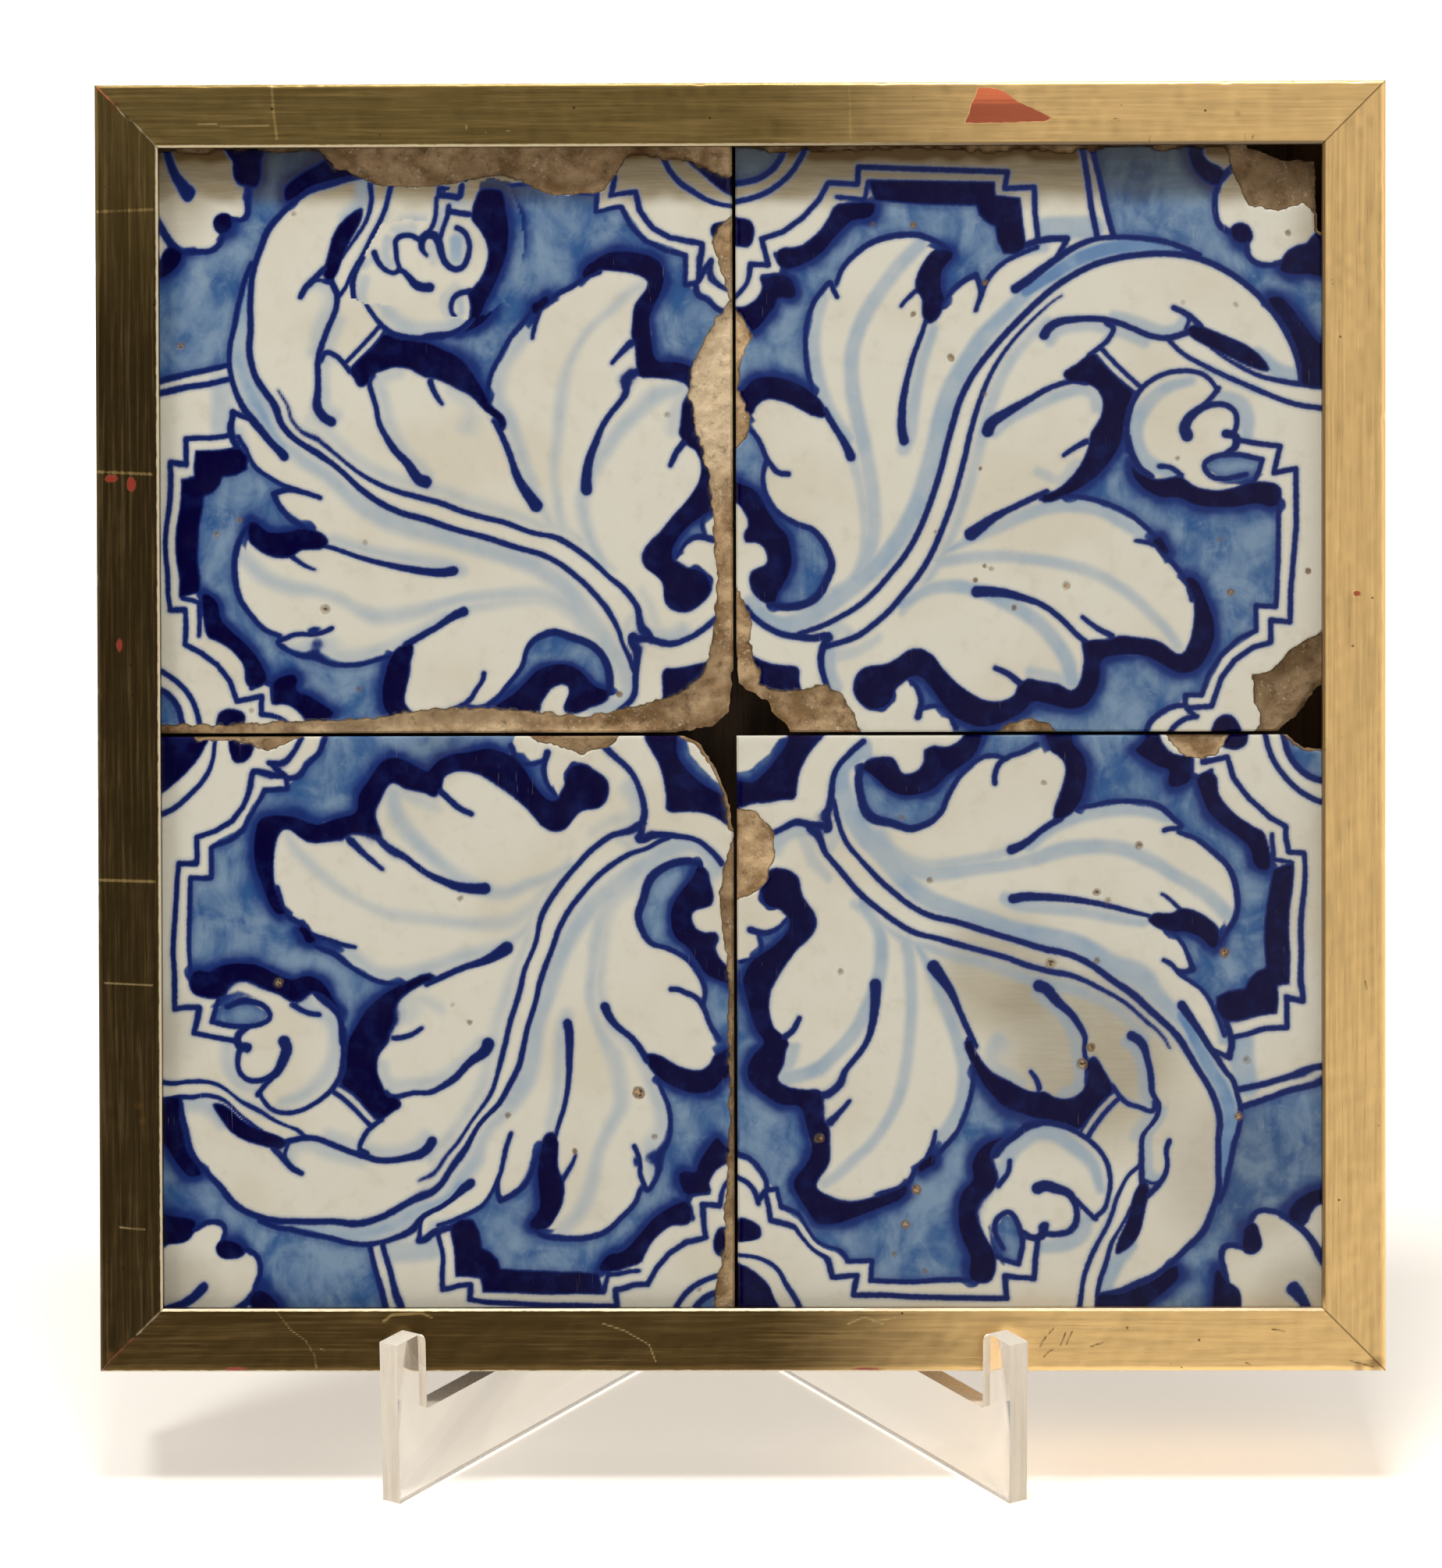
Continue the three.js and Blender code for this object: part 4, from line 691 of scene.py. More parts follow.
@dataclass(frozen=True)
class TinGlaze:
    """Opaque white tin glaze painted in cobalt: glossy, a little wavy, and bare clay where it broke."""

    white: str = "d3cfc0"
    warm_white: str = "c9c1ab"
    mottled: str = "aca68f"
    wash_deep: str = "2f5588"
    wash_light: str = "7890a8"
    wash_thin: str = "8c9fb0"
    pooled_wash: str = "1c3676"
    soft_navy: str = "0f1a58"
    pale: str = "889fb4"
    deep_pale: str = "587aa6"
    halo: str = "5f7fa6"
    # stains, and the painted shadow under the frame's top lip: on the white, darkest next to the lip, and
    # over the wash
    soil_and_shade: str = "85775b"
    grimed_and_shaded_wash: str = "403f3c"
    deep_lip_shade: str = "5a4526"
    line: str = "182a6a"
    navy: str = "03002f"
    clay_light: str = "c8aa82"
    clay_dark: str = "8a6c48"
    clay_grey: str = "6c573e"
    rim: str = "2e2116"
    crumb: str = "e2d6c0"
    clay_pale: str = "dcc5a2"
    pit_ring: str = "70583a"
    pit_deep: str = "3a2a1c"
    pit_shallow: str = "b79a70"
    hairline: str = "ddd6c6"

    def painted(self, shader: Shader, axes: PanelAxes) -> bpy.types.NodeSocket:
        """The colour of the glaze with its painting.

        Args:
            shader: The material that is being made.
            axes: The panel's axes.

        Returns:
            The colour socket.
        """
        add = shader.add
        clouds = add(Node.NOISE, 1 / 26, 3)
        mottle = add(Node.NOISE, 1 / 4.5, 4, Roughness=0.6)
        ink = shader.ragged("ink", add(Node.NOISE, 1 / 1.1, 2), 0.34)
        white = add(Node.MIX, add(Node.RAMP, clouds, 0.42, 0.72, 0, 0.6), self.white, self.warm_white)
        white = add(Node.MIX, add(Node.RAMP, mottle, 0.5, 0.8, 0, 0.25), white, self.mottled)
        # streaks in the stored stain, which holds the listed stains and the painted shadow under the frame's
        # top lip; past 0.95 it is mostly that shadow, painted darkest next to the lip
        rubbed = add(Node.NOISE, 1, 4, axes.measured(shader, 9, 1, 0.8), 0.7)
        stain = add(Node.STORED, attribute_name="stain")
        soiled_and_shaded = add(Node.MULTIPLY, stain, add(Node.RAMP, rubbed, 0.3, 0.65, 0.92, 1.06), use_clamp=True)
        white = add(Node.MIX, soiled_and_shaded, white, self.soil_and_shade)
        white = add(Node.MIX, add(Node.RAMP, stain, 0.95, 1.3, 0, 0.9), white, self.deep_lip_shade)
        uneven = add(Node.RAMP, add(Node.NOISE, 1 / 9, 3), 0.25, 0.7, 0.7, 1.0)
        shaded = add(Node.MULTIPLY, add(Node.STORED, attribute_name="shade"), uneven)
        colour = add(Node.MIX, shaded, white, self.pale)
        colour = add(Node.MIX, add(Node.RAMP, shaded, 0.8, 1.3, 0, 0.85), colour, self.deep_pale)
        colour = add(Node.MIX, add(Node.RAMP, ink, -1.0, 0.1, 0, 0.4), colour, self.halo)
        strokes = add(Node.NOISE, 1, 4, axes.measured(shader, 8, 1, 17), 0.6, 0.9)
        drifts = add(Node.NOISE, 1 / 12, 4, Roughness=0.55, Distortion=0.8)
        pooled = add(Node.ADD, add(Node.MULTIPLY, strokes, 0.4), add(Node.MULTIPLY, drifts, 0.6))
        wash = add(Node.MIX, add(Node.RAMP, pooled, 0.36, 0.64), self.wash_deep, self.wash_light)
        thin = add(Node.RAMP, add(Node.NOISE, 1 / 5.5, 5, Roughness=0.7, Distortion=0.5), 0.52, 0.78, 0, 0.5)
        wash = add(Node.MIX, thin, wash, self.wash_thin)
        gathered = shader.ragged("pool", add(Node.NOISE, 1 / 4.5, 3), 2.4)
        wash = add(Node.MIX, add(Node.RAMP, gathered, -3.9, -0.2, 0, 0.9), wash, self.pooled_wash)
        wash = add(Node.MIX, add(Node.RAMP, gathered, -1.8, 0.3, 0, 0.95), wash, self.soft_navy)
        wash = add(Node.MIX, add(Node.RAMP, ink, -1.8, 0.0, 0, 0.4), wash, self.pooled_wash)
        # the stains and the painted lip shadow darken the wash as well
        wash = add(Node.MIX, add(Node.MULTIPLY, soiled_and_shaded, 0.7), wash, self.grimed_and_shaded_wash)
        edge = shader.ragged("wash", add(Node.NOISE, 1 / 2.2, 2), 0.7)
        colour = add(Node.MIX, add(Node.RAMP, edge, -0.85, -0.15), colour, wash)
        load = add(Node.MULTIPLY, add(Node.STORED, attribute_name="weight"), add(Node.RAMP, ink, 0.05, 0.7))
        load = add(Node.MULTIPLY, load,
                   add(Node.RAMP, add(Node.NOISE, 1 / 5, 4, Roughness=0.6), 0.25, 0.55, 0.7, 1))
        dark = add(Node.MIX, load, self.line, self.navy)
        return add(Node.MIX, add(Node.RAMP, ink, -0.3, 0.24), colour, dark)

    def build(self, axes: PanelAxes) -> bpy.types.Material:
        """Makes the material.

        Args:
            axes: The panel's axes.

        Returns:
            The material.
        """
        shader = Shader("tin_glaze_on_earthenware")
        add = shader.add
        colour = self.painted(shader, axes)
        pit = add(Node.STORED, attribute_name="pit")
        ring = add(Node.RAMP, add(Node.NOISE, 1 / 6, 1), 0.35, 0.65, 0.35, 0.9)
        colour = add(Node.MIX, add(Node.MULTIPLY, add(Node.RAMP, pit, -0.4, 0.1), ring), colour,
                     self.pit_ring)
        floor = add(Node.MIX, add(Node.RAMP, add(Node.NOISE, 1 / 0.8, 2), 0.4, 0.6), self.pit_deep,
                    self.pit_shallow)
        colour = add(Node.MIX, add(Node.RAMP, pit, 0.2, 0.6, 0, 0.85), colour, floor)
        hairs = add(Node.NOISE, 1, 2, axes.measured(shader, 0.35, 1, 9), 0.5, 0.4)
        hairs = add(Node.MULTIPLY, add(Node.RAMP, hairs, 0.70, 0.74),
                    add(Node.RAMP, add(Node.NOISE, 1 / 24, 2), 0.5, 0.62))
        colour = add(Node.MIX, add(Node.MULTIPLY, hairs, 0.12), colour, self.hairline)
        rough_edge = add(Node.MULTIPLY_ADD, add(Node.NOISE, 1 / 1.6, 3), 0.6, -0.3)
        broken = add(Node.ADD, add(Node.STORED, attribute_name="loss"), rough_edge)
        body = add(Node.MIX, add(Node.RAMP, add(Node.NOISE, 1 / 6, 4), 0.35, 0.65), self.clay_dark,
                   self.clay_light)
        tone = add(Node.STORED, attribute_name="tone")
        body = add(Node.MIX, add(Node.MULTIPLY, tone, 0.85, use_clamp=True), body, self.clay_grey)
        body = add(Node.MIX, add(Node.MULTIPLY, tone, -0.8, use_clamp=True), body, self.clay_pale)
        grit = add(Node.NOISE, 1 / 0.9, 5, Roughness=0.7)
        crumbs = add(Node.MULTIPLY, add(Node.RAMP, grit, 0.56, 0.68),
                     add(Node.RAMP, add(Node.NOISE, 1 / 9, 3), 0.45, 0.6))
        body = add(Node.MIX, add(Node.MULTIPLY, crumbs, 0.7), body, self.crumb)
        body = add(Node.MIX, add(Node.RAMP, add(Node.NOISE, 1 / 2.4, 6, Roughness=0.75), 0.5, 0.72, 0, 0.6),
                   body, self.rim)
        body = add(Node.MIX, add(Node.RAMP, broken, 0.55, 0.05, 0, 0.75), body, self.rim)
        bare = add(Node.RAMP, broken, -0.05, 0.12)
        colour = add(Node.MIX, bare, colour, body)
        wavy = add(Node.BUMP, add(Node.NOISE, 1 / 5, 2), 0.05 * MM)
        grainy = add(Node.BUMP, add(Node.ADD, add(Node.NOISE, 1, 4), grit), 0.35 * MM, 0.9)
        normal = add_node(shader.tree, "ShaderNodeMix", {0: bare, 4: wavy, 5: grainy},
                          data_type="VECTOR").outputs[1]
        scuffs = add(Node.RAMP, add(Node.NOISE, 1 / 8, 4), 0.45, 0.8, 0.10, 0.26)
        rough = add(Node.MAXIMUM, scuffs, add(Node.MULTIPLY, bare, 0.92))
        return shader.finish(Base_Color=colour, Roughness=rough, Normal=normal, Specular_IOR_Level=0.25)


class Grain(Enum):
    """Which way a rail's brushing and leaf run."""

    ACROSS = "across"
    UP = "up"


@dataclass(frozen=True)
class Gilding:
    """Gold leaf over red clay: a soft metal gleam with streaks, lapped leaves and wear, shaded brown in
    paint to the left and low down, with painted highlights and shade along its edges.
    """

    # the lit gold, and the painted shade that darkens it to the left, low down, and on the upright rails
    lit_gold: str = "e9c384"
    gold_shade_side: str = "413318"
    gold_shade_low: str = "554220"
    gold_shade_high: str = "7f6a3c"
    # pale gesso at chips, also used for the painted highlight along the lit edges
    rubbed: str = "ecdcb6"
    shadow: str = "2c2110"
    bole: str = "d0603c"
    seam: str = "4a2f16"
    # painted shade along the rails' inner edge
    inner_edge_shade: str = "4a3216"
    lap: str = "b99c62"
    speck: str = "2b1c10"
    old_bole: str = "8e2a18"
    scratched: str = "c8ae78"
    dirt: str = "6e4c22"
    wood_pale: str = "93714a"
    wood_dark: str = "6c4f2f"

    def build(self, axes: PanelAxes, grain: Grain) -> bpy.types.Material:
        """Makes the material.

        Args:
            axes: The panel's axes.
            grain: Which way the streaks run.

        Returns:
            The material.
        """
        shader = Shader(f"gilded_wood_{grain.value}")
        add = shader.add
        along, over = (34, 0.9) if grain is Grain.ACROSS else (0.9, 34)
        streaks = add(Node.NOISE, 1, 5, axes.measured(shader, along, 1.2, over), 0.65)
        fine = add(Node.NOISE, 1, 3, axes.measured(shader, along / 3 + 0.05, 0.4, over / 3 + 0.05), 0.6)
        clouds = add(Node.NOISE, 1 / 14, 4, Roughness=0.6)
        placed = add_node(shader.tree, "ShaderNodeSeparateXYZ", {0: axes.measured(shader)}).outputs
        across = placed[0]
        # painted light and shade: the gold is darker low down and lighter towards the top, and darker still
        # on the upright rails below their tops
        shaded_gold = add(Node.MIX, add(Node.RAMP, placed[2], -120, 120), self.gold_shade_low, self.gold_shade_high)
        if grain is Grain.UP:
            shaded_gold = add(Node.MIX, add(Node.RAMP, placed[2], 80, 150, 0, 0.5), self.gold_shade_side, shaded_gold)
        # painted light: the gold brightens from that shade left of the middle to full light 76 mm right of
        # it
        tone = add(Node.ADD, add(Node.RAMP, across, 0, 76), add(Node.MULTIPLY_ADD, streaks, 0.36, -0.18))
        tone = add(Node.ADD, tone, add(Node.MULTIPLY_ADD, clouds, 0.08, -0.04), use_clamp=True)
        colour = add(Node.MIX, tone, shaded_gold, self.lit_gold)
        # painted shade: dark streaks, more of them towards the left
        left_shade_streaks = add(Node.MULTIPLY, add(Node.RAMP, fine, 0.5, 0.78),
                      add(Node.RAMP, across, 60, -80, 0.1, 0.35))
        colour = add(Node.MIX, left_shade_streaks, colour, self.shadow)
        laps = shader.ragged("lap", streaks, 0.8)
        colour = add(Node.MIX, add(Node.RAMP, laps, -0.3, 0.1, 0, 0.7), colour, self.lap)
        specks = add(Node.RAMP, add(Node.CELLS, 1 / 4.2), 0.10, 0.05)
        rare = add(Node.MULTIPLY, specks, add(Node.RAMP, add(Node.NOISE, 1 / 11, 1), 0.54, 0.62))
        colour = add(Node.MIX, add(Node.MULTIPLY, rare, 0.8), colour, self.speck)
        wear = shader.ragged("wear", add(Node.NOISE, 1 / 2.4, 4), 0.8)
        worn = add(Node.RAMP, wear, -0.25, 0.15)
        deep = add(Node.ADD, add(Node.MULTIPLY, streaks, 0.6),
                   add(Node.RAMP, placed[2], 150.5, 144.5, 0, 0.5))
        under = add(Node.MIX, add(Node.RAMP, deep, 0.35, 0.7), self.bole, self.old_bole)
        colour = add(Node.MIX, add(Node.MULTIPLY, worn, 0.9), colour, under)
        scratch = add(Node.RAMP, add(Node.STORED, attribute_name="scratch"), -0.27, 0.0, 0, 0.7)
        colour = add(Node.MIX, scratch, colour, self.scratched)
        # pale gesso at the chipped left mitres, and a painted highlight along the edges that catch the light
        bare = shader.ragged("rubbed", add(Node.NOISE, 1 / 2.2, 4), 0.4)
        bare = add(Node.RAMP, bare, -0.2, 0.12, 0, 0.85)
        colour = add(Node.MIX, bare, colour, self.rubbed)
        dirt = shader.ragged("grime", add(Node.NOISE, 1 / 3.5, 4), 2)
        colour = add(Node.MIX, add(Node.RAMP, dirt, -0.8, 1.2, 0, 0.6), colour, self.dirt)
        seam = add(Node.RAMP, add(Node.STORED, attribute_name="seam"), -0.3, 0.02, 0, 0.8)
        colour = add(Node.MIX, seam, colour, self.seam)
        # painted shade: a dark line along the inner edge, deepest towards the right and weaker along the
        # bottom rail
        inner = add(Node.MAXIMUM, add(Node.ABSOLUTE, across), add(Node.ABSOLUTE, placed[2]))
        edge_shading = add(Node.MULTIPLY, add(Node.RAMP, across, -30, 70, 0.1, 0.85),
                     add(Node.RAMP, placed[2], -137.4, -134, 0.4, 1.0))
        edge_shading = add(Node.MULTIPLY, add(Node.RAMP, inner, 138.4, 137.9), edge_shading)
        colour = add(Node.MIX, edge_shading, colour, self.inner_edge_shade)
        metal = add(Node.MULTIPLY_ADD, add(Node.MAXIMUM, worn, bare), -0.8, 0.85, use_clamp=True)
        matt = add(Node.RAMP, streaks, 0.3, 0.75, 0.27, 0.42)
        lines = add(Node.BUMP, streaks, 0.04 * MM)
        normal = add(Node.BUMP, add(Node.MULTIPLY_ADD, worn, -1, add(Node.MULTIPLY, clouds, 0.4)), 0.1 * MM,
                     0.7, lines)
        behind = add(Node.RAMP, placed[1], 28.6, 29.6)
        wood = add(Node.MIX, add(Node.RAMP, fine, 0.4, 0.65), self.wood_pale, self.wood_dark)
        colour = add(Node.MIX, behind, colour, wood)
        metal = add(Node.MULTIPLY, metal, add(Node.SUBTRACT, 1.0, behind))
        matt = add(Node.MAXIMUM, matt, add(Node.MULTIPLY, behind, 0.7))
        return shader.finish(Base_Color=colour, Metallic=metal, Roughness=matt, Normal=normal)


@dataclass(frozen=True)
class ClearAcrylic:
    """Cast acrylic sheet, cut and flame-polished: clear faces with a faint painted glow, and edges with a
    painted glow of their own.
    """

    tint: str = "fdf9f3"
    sawn: str = "e8dece"
    streak: str = "d8ccb8"
    painted_glow: str = "fffaf0"
    ior: float = 1.49

    def face(self) -> bpy.types.Material:
        """Makes the clear face of the sheet, with a faint painted glow that lightens it."""
        shader = Shader("clear_cast_acrylic")
        add = shader.add
        haze = add(Node.RAMP, add(Node.NOISE, 1 / 16, 3), 0.4, 0.75, 0.015, 0.05)
        return shader.finish(Base_Color=linear(self.tint), Roughness=haze, IOR=self.ior,
                             Transmission_Weight=1.0, Emission_Color=linear(self.painted_glow),
                             Emission_Strength=0.05)

    def edge(self) -> bpy.types.Material:
        """Makes its cut edge: fine lines from the saw, and a painted glow, brightest where it faces the
        floor.
        """
        shader = Shader("sawn_acrylic_edge")
        add = shader.add
        upright = add_node(shader.tree, "ShaderNodeMapping", {"Vector": shader.place, "Scale": (1, 1, 0.05)})
        lines = add(Node.NOISE, 1, 4, add_node(shader.tree, "ShaderNodeVectorMath", {
            0: upright.outputs[0], 3: 1 / MM}, operation="SCALE").outputs[0], 0.6)
        colour = add(Node.MIX, add(Node.RAMP, lines, 0.35, 0.7), self.sawn, self.streak)
        facing = add_node(shader.tree, "ShaderNodeNewGeometry").outputs["True Normal"]
        upward = add_node(shader.tree, "ShaderNodeSeparateXYZ", {0: facing}).outputs[2]
        edge_glow = add(Node.RAMP, upward, -0.3, -0.8, 0.04, 0.95)
        return shader.finish(Base_Color=colour, Roughness=add(Node.RAMP, lines, 0.35, 0.7, 0.25, 0.35),
                             IOR=self.ior, Transmission_Weight=0.05, Emission_Color=linear(self.painted_glow),
                             Emission_Strength=edge_glow)


@dataclass(frozen=True)
class BareMetal:
    """Drawn or stamped metal hardware: fine scratches, and a little tarnish in the hollows."""

    name: str
    clean: str
    tarnish: str
    roughness: float
    brush_mark: float = 0.5

    def build(self) -> bpy.types.Material:
        """Makes the material."""
        shader = Shader(self.name)
        add = shader.add
        spots = add(Node.RAMP, add(Node.NOISE, 1 / 3.2, 5, Roughness=0.65), 0.42, 0.8, 0, 0.7)
        colour = add(Node.MIX, spots, self.clean, self.tarnish)
        brushed = add(Node.NOISE, 1 / self.brush_mark, 3)
        matt = add(Node.MULTIPLY_ADD, brushed, 0.16, self.roughness)
        return shader.finish(Base_Color=colour, Metallic=1.0, Roughness=matt,
                             Normal=add(Node.BUMP, brushed, 0.02 * MM))


STEEL = BareMetal("zinc_plated_steel", "b9b6ae", "857c70", 0.26)
BRASS = BareMetal("stamped_brass", "c9a866", "8a6a38", 0.22)


@dataclass(frozen=True)
class StainedPlywood:
    """Birch plywood under dark brown stain: long grain, raised and dusty."""

    stain: str = "2c1f14"
    grain: str = "46331f"
    pore: str = "1d140d"
    dust: str = "8a7a66"

    def build(self, axes: PanelAxes) -> bpy.types.Material:
        """Makes the material.

        Args:
            axes: The panel's axes.

        Returns:
            The material.
        """
        shader = Shader("stained_birch_plywood")
        add = shader.add
        rings = add(Node.NOISE, 1, 5, axes.measured(shader, 3.2, 1.6, 60), 0.6, 0.5)
        pores = add(Node.NOISE, 1, 2, axes.measured(shader, 0.5, 0.5, 7))
        colour = add(Node.MIX, add(Node.RAMP, rings, 0.35, 0.65), self.stain, self.grain)
        colour = add(Node.MIX, add(Node.RAMP, pores, 0.58, 0.7, 0, 0.5), colour, self.pore)
        colour = add(Node.MIX, add(Node.RAMP, add(Node.NOISE, 1 / 60, 5), 0.5, 0.8, 0, 0.16), colour,
                     self.dust)
        return shader.finish(Base_Color=colour, Roughness=0.78,
                             Normal=add(Node.BUMP, add(Node.ADD, rings, pores), 0.12 * MM))


@dataclass(frozen=True)
class SetMortar:
    """Lime and sand mortar, trowelled flat: matt, pale and gritty."""

    pale: str = "bfb39b"
    dark: str = "8f836d"
    sand: str = "6c6152"

    def build(self) -> bpy.types.Material:
        """Makes the material."""
        shader = Shader("lime_mortar")
        add = shader.add
        sand = add(Node.CELLS, 1 / 1.1)
        colour = add(Node.MIX, add(Node.RAMP, add(Node.NOISE, 1 / 7, 4), 0.35, 0.65), self.dark, self.pale)
        colour = add(Node.MIX, add(Node.RAMP, sand, 0.4, 0.1, 0, 0.45), colour, self.sand)
        return shader.finish(Base_Color=colour, Roughness=0.95, Normal=add(Node.BUMP, sand, 0.3 * MM))


# How far outside a shape distances are still measured, in millimetres
FAR = 4.0


def read_path(path: Path) -> np.ndarray:
    """The points of a path, one row each."""
    return np.array([point.split(",") for point in path.split()], float)


def curve(p: np.ndarray, closed: bool = False, step: float = 0.6) -> np.ndarray:
    """Joins points by a smooth curve.

    Args:
        p: The places that the curve goes through.
        closed: Whether it comes back to its start.
        step: The distance between the curve's own points.

    Returns:
        The curve's points, one row each.
    """
    if closed:
        p = np.vstack([p[-1], p, p[0], p[1]])
    else:
        p = np.vstack([2 * p[0] - p[1], p, 2 * p[-1] - p[-2]])
    runs = []
    for a, b, c, d in zip(p, p[1:], p[2:], p[3:]):
        count = max(2, math.ceil(float(np.hypot(*(c - b))) / step))
        t = (np.arange(count) / count)[:, None]
        runs.append(0.5 * (2 * b + (c - a) * t + (2 * a - 5 * b + 4 * c - d) * t ** 2
                           + (3 * b - a - 3 * c + d) * t ** 3))
    if not closed:
        runs.append(p[-2][None])
    return np.vstack(runs)


def half_widths(points: np.ndarray, widths: tuple[float, ...]) -> np.ndarray:
    """Half the brush's width at each point of a stroke, from widths spread evenly along it."""
    lengths = np.concatenate([[0], np.cumsum(np.hypot(*np.diff(points, axis=0).T))])
    return np.interp(lengths / lengths[-1], np.linspace(0, 1, len(widths)), widths) / 2


def stroke_distance(places: np.ndarray, points: np.ndarray, half: np.ndarray) -> np.ndarray:
    """Measures how far places lie inside a brush stroke.

    Args:
        places: The places to measure, one row each.
        points: The stroke's points.
        half: Half its width at each point.

    Returns:
        The distance to the stroke's edge, positive inside and no lower than -FAR.
    """
    found = np.full(len(places), -FAR)
    for a, b, start, end in zip(points[:-1], points[1:], half[:-1], half[1:]):
        run = b - a
        reach = max(start, end) + FAR
        near = np.where((np.abs(places - (a + b) / 2) < np.abs(run) / 2 + reach).all(1))[0]
        if not len(near):
            continue
        out = places[near] - a
        share = np.clip(out @ run / max(run @ run, 1e-9), 0, 1)
        away = np.hypot(*(out - share[:, None] * run).T)
        found[near] = np.maximum(found[near], start + (end - start) * share - away)
    return found


def patch_distance(places: np.ndarray, points: np.ndarray) -> np.ndarray:
    """Measures how far places lie inside a closed outline.

    Args:
        places: The places to measure, one row each.
        points: The outline's corners.

    Returns:
        The distance to the outline, positive inside.
    """
    found = np.full(len(places), -FAR)
    near = np.where(((places > points.min(0) - FAR) & (places < points.max(0) + FAR)).all(1))[0]
    if not len(near):
        return found
    loop = np.vstack([points, points[:1]])
    away = -stroke_distance(places[near], loop, np.zeros(len(loop)))
    x, y = places[near].T
    inside = np.zeros(len(near), bool)
    for (ax, ay), (bx, by) in zip(loop[:-1], loop[1:]):
        if ay != by:
            inside ^= ((ay > y) != (by > y)) & (x < (bx - ax) * (y - ay) / (by - ay) + ax)
    found[near] = np.where(inside, away, -away)
    return found


def clouds(places: np.ndarray, size: float, seed: int = 0) -> np.ndarray:
    """Smooth chance heights from -1 to 1.

    Args:
        places: The places to take them at, one row of two each.
        size: How far apart the heights change.
        seed: Which set of heights to take.

    Returns:
        A height for each place.
    """
    cell = np.floor(places / size).astype(np.int64)
    share = places / size - cell
    share = share * share * (3 - 2 * share)

    def corner(right: int, up: int) -> np.ndarray:
        """The chance height at one corner of each place's cell."""
        key = ((cell[:, 0] + right) * 374761393 + (cell[:, 1] + up) * 668265263
               + seed * 97463477) & 0xffffffff
        key = ((key ^ (key >> 13)) * 1274126177) & 0xffffffff
        return ((key ^ (key >> 16)) & 0xffff) / 32767.5 - 1

    low = corner(0, 0) * (1 - share[:, 0]) + corner(1, 0) * share[:, 0]
    high = corner(0, 1) * (1 - share[:, 0]) + corner(1, 1) * share[:, 0]
    return low * (1 - share[:, 1]) + high * share[:, 1]


def smooth_step(values: np.ndarray, low: float, high: float) -> np.ndarray:
    """Rises smoothly from 0 at low to 1 at high."""
    share = np.clip((values - low) / (high - low), 0, 1)
    return share * share * (3 - 2 * share)


class Corner(Enum):
    """Which of the four tiles one is: its column in the table of strays, and how the design turns."""

    TOP_RIGHT = ("top_right", 0, 0)
    TOP_LEFT = ("top_left", 1, 1)
    BOTTOM_LEFT = ("bottom_left", 2, 2)
    BOTTOM_RIGHT = ("bottom_right", 3, 3)

    def __init__(self, label: str, column: int, turns: int) -> None:
        """Keeps the tile's name, its column and its quarter turns to the left."""
        self.label, self.column, self.turns = label, column, turns

    def in_design(self, places: np.ndarray) -> np.ndarray:
        """Turns places on the panel back to the way that the design is drawn."""
        x, y = places.T
        return np.stack([(x, y), (y, -x), (-x, -y), (-y, x)][self.turns], 1)


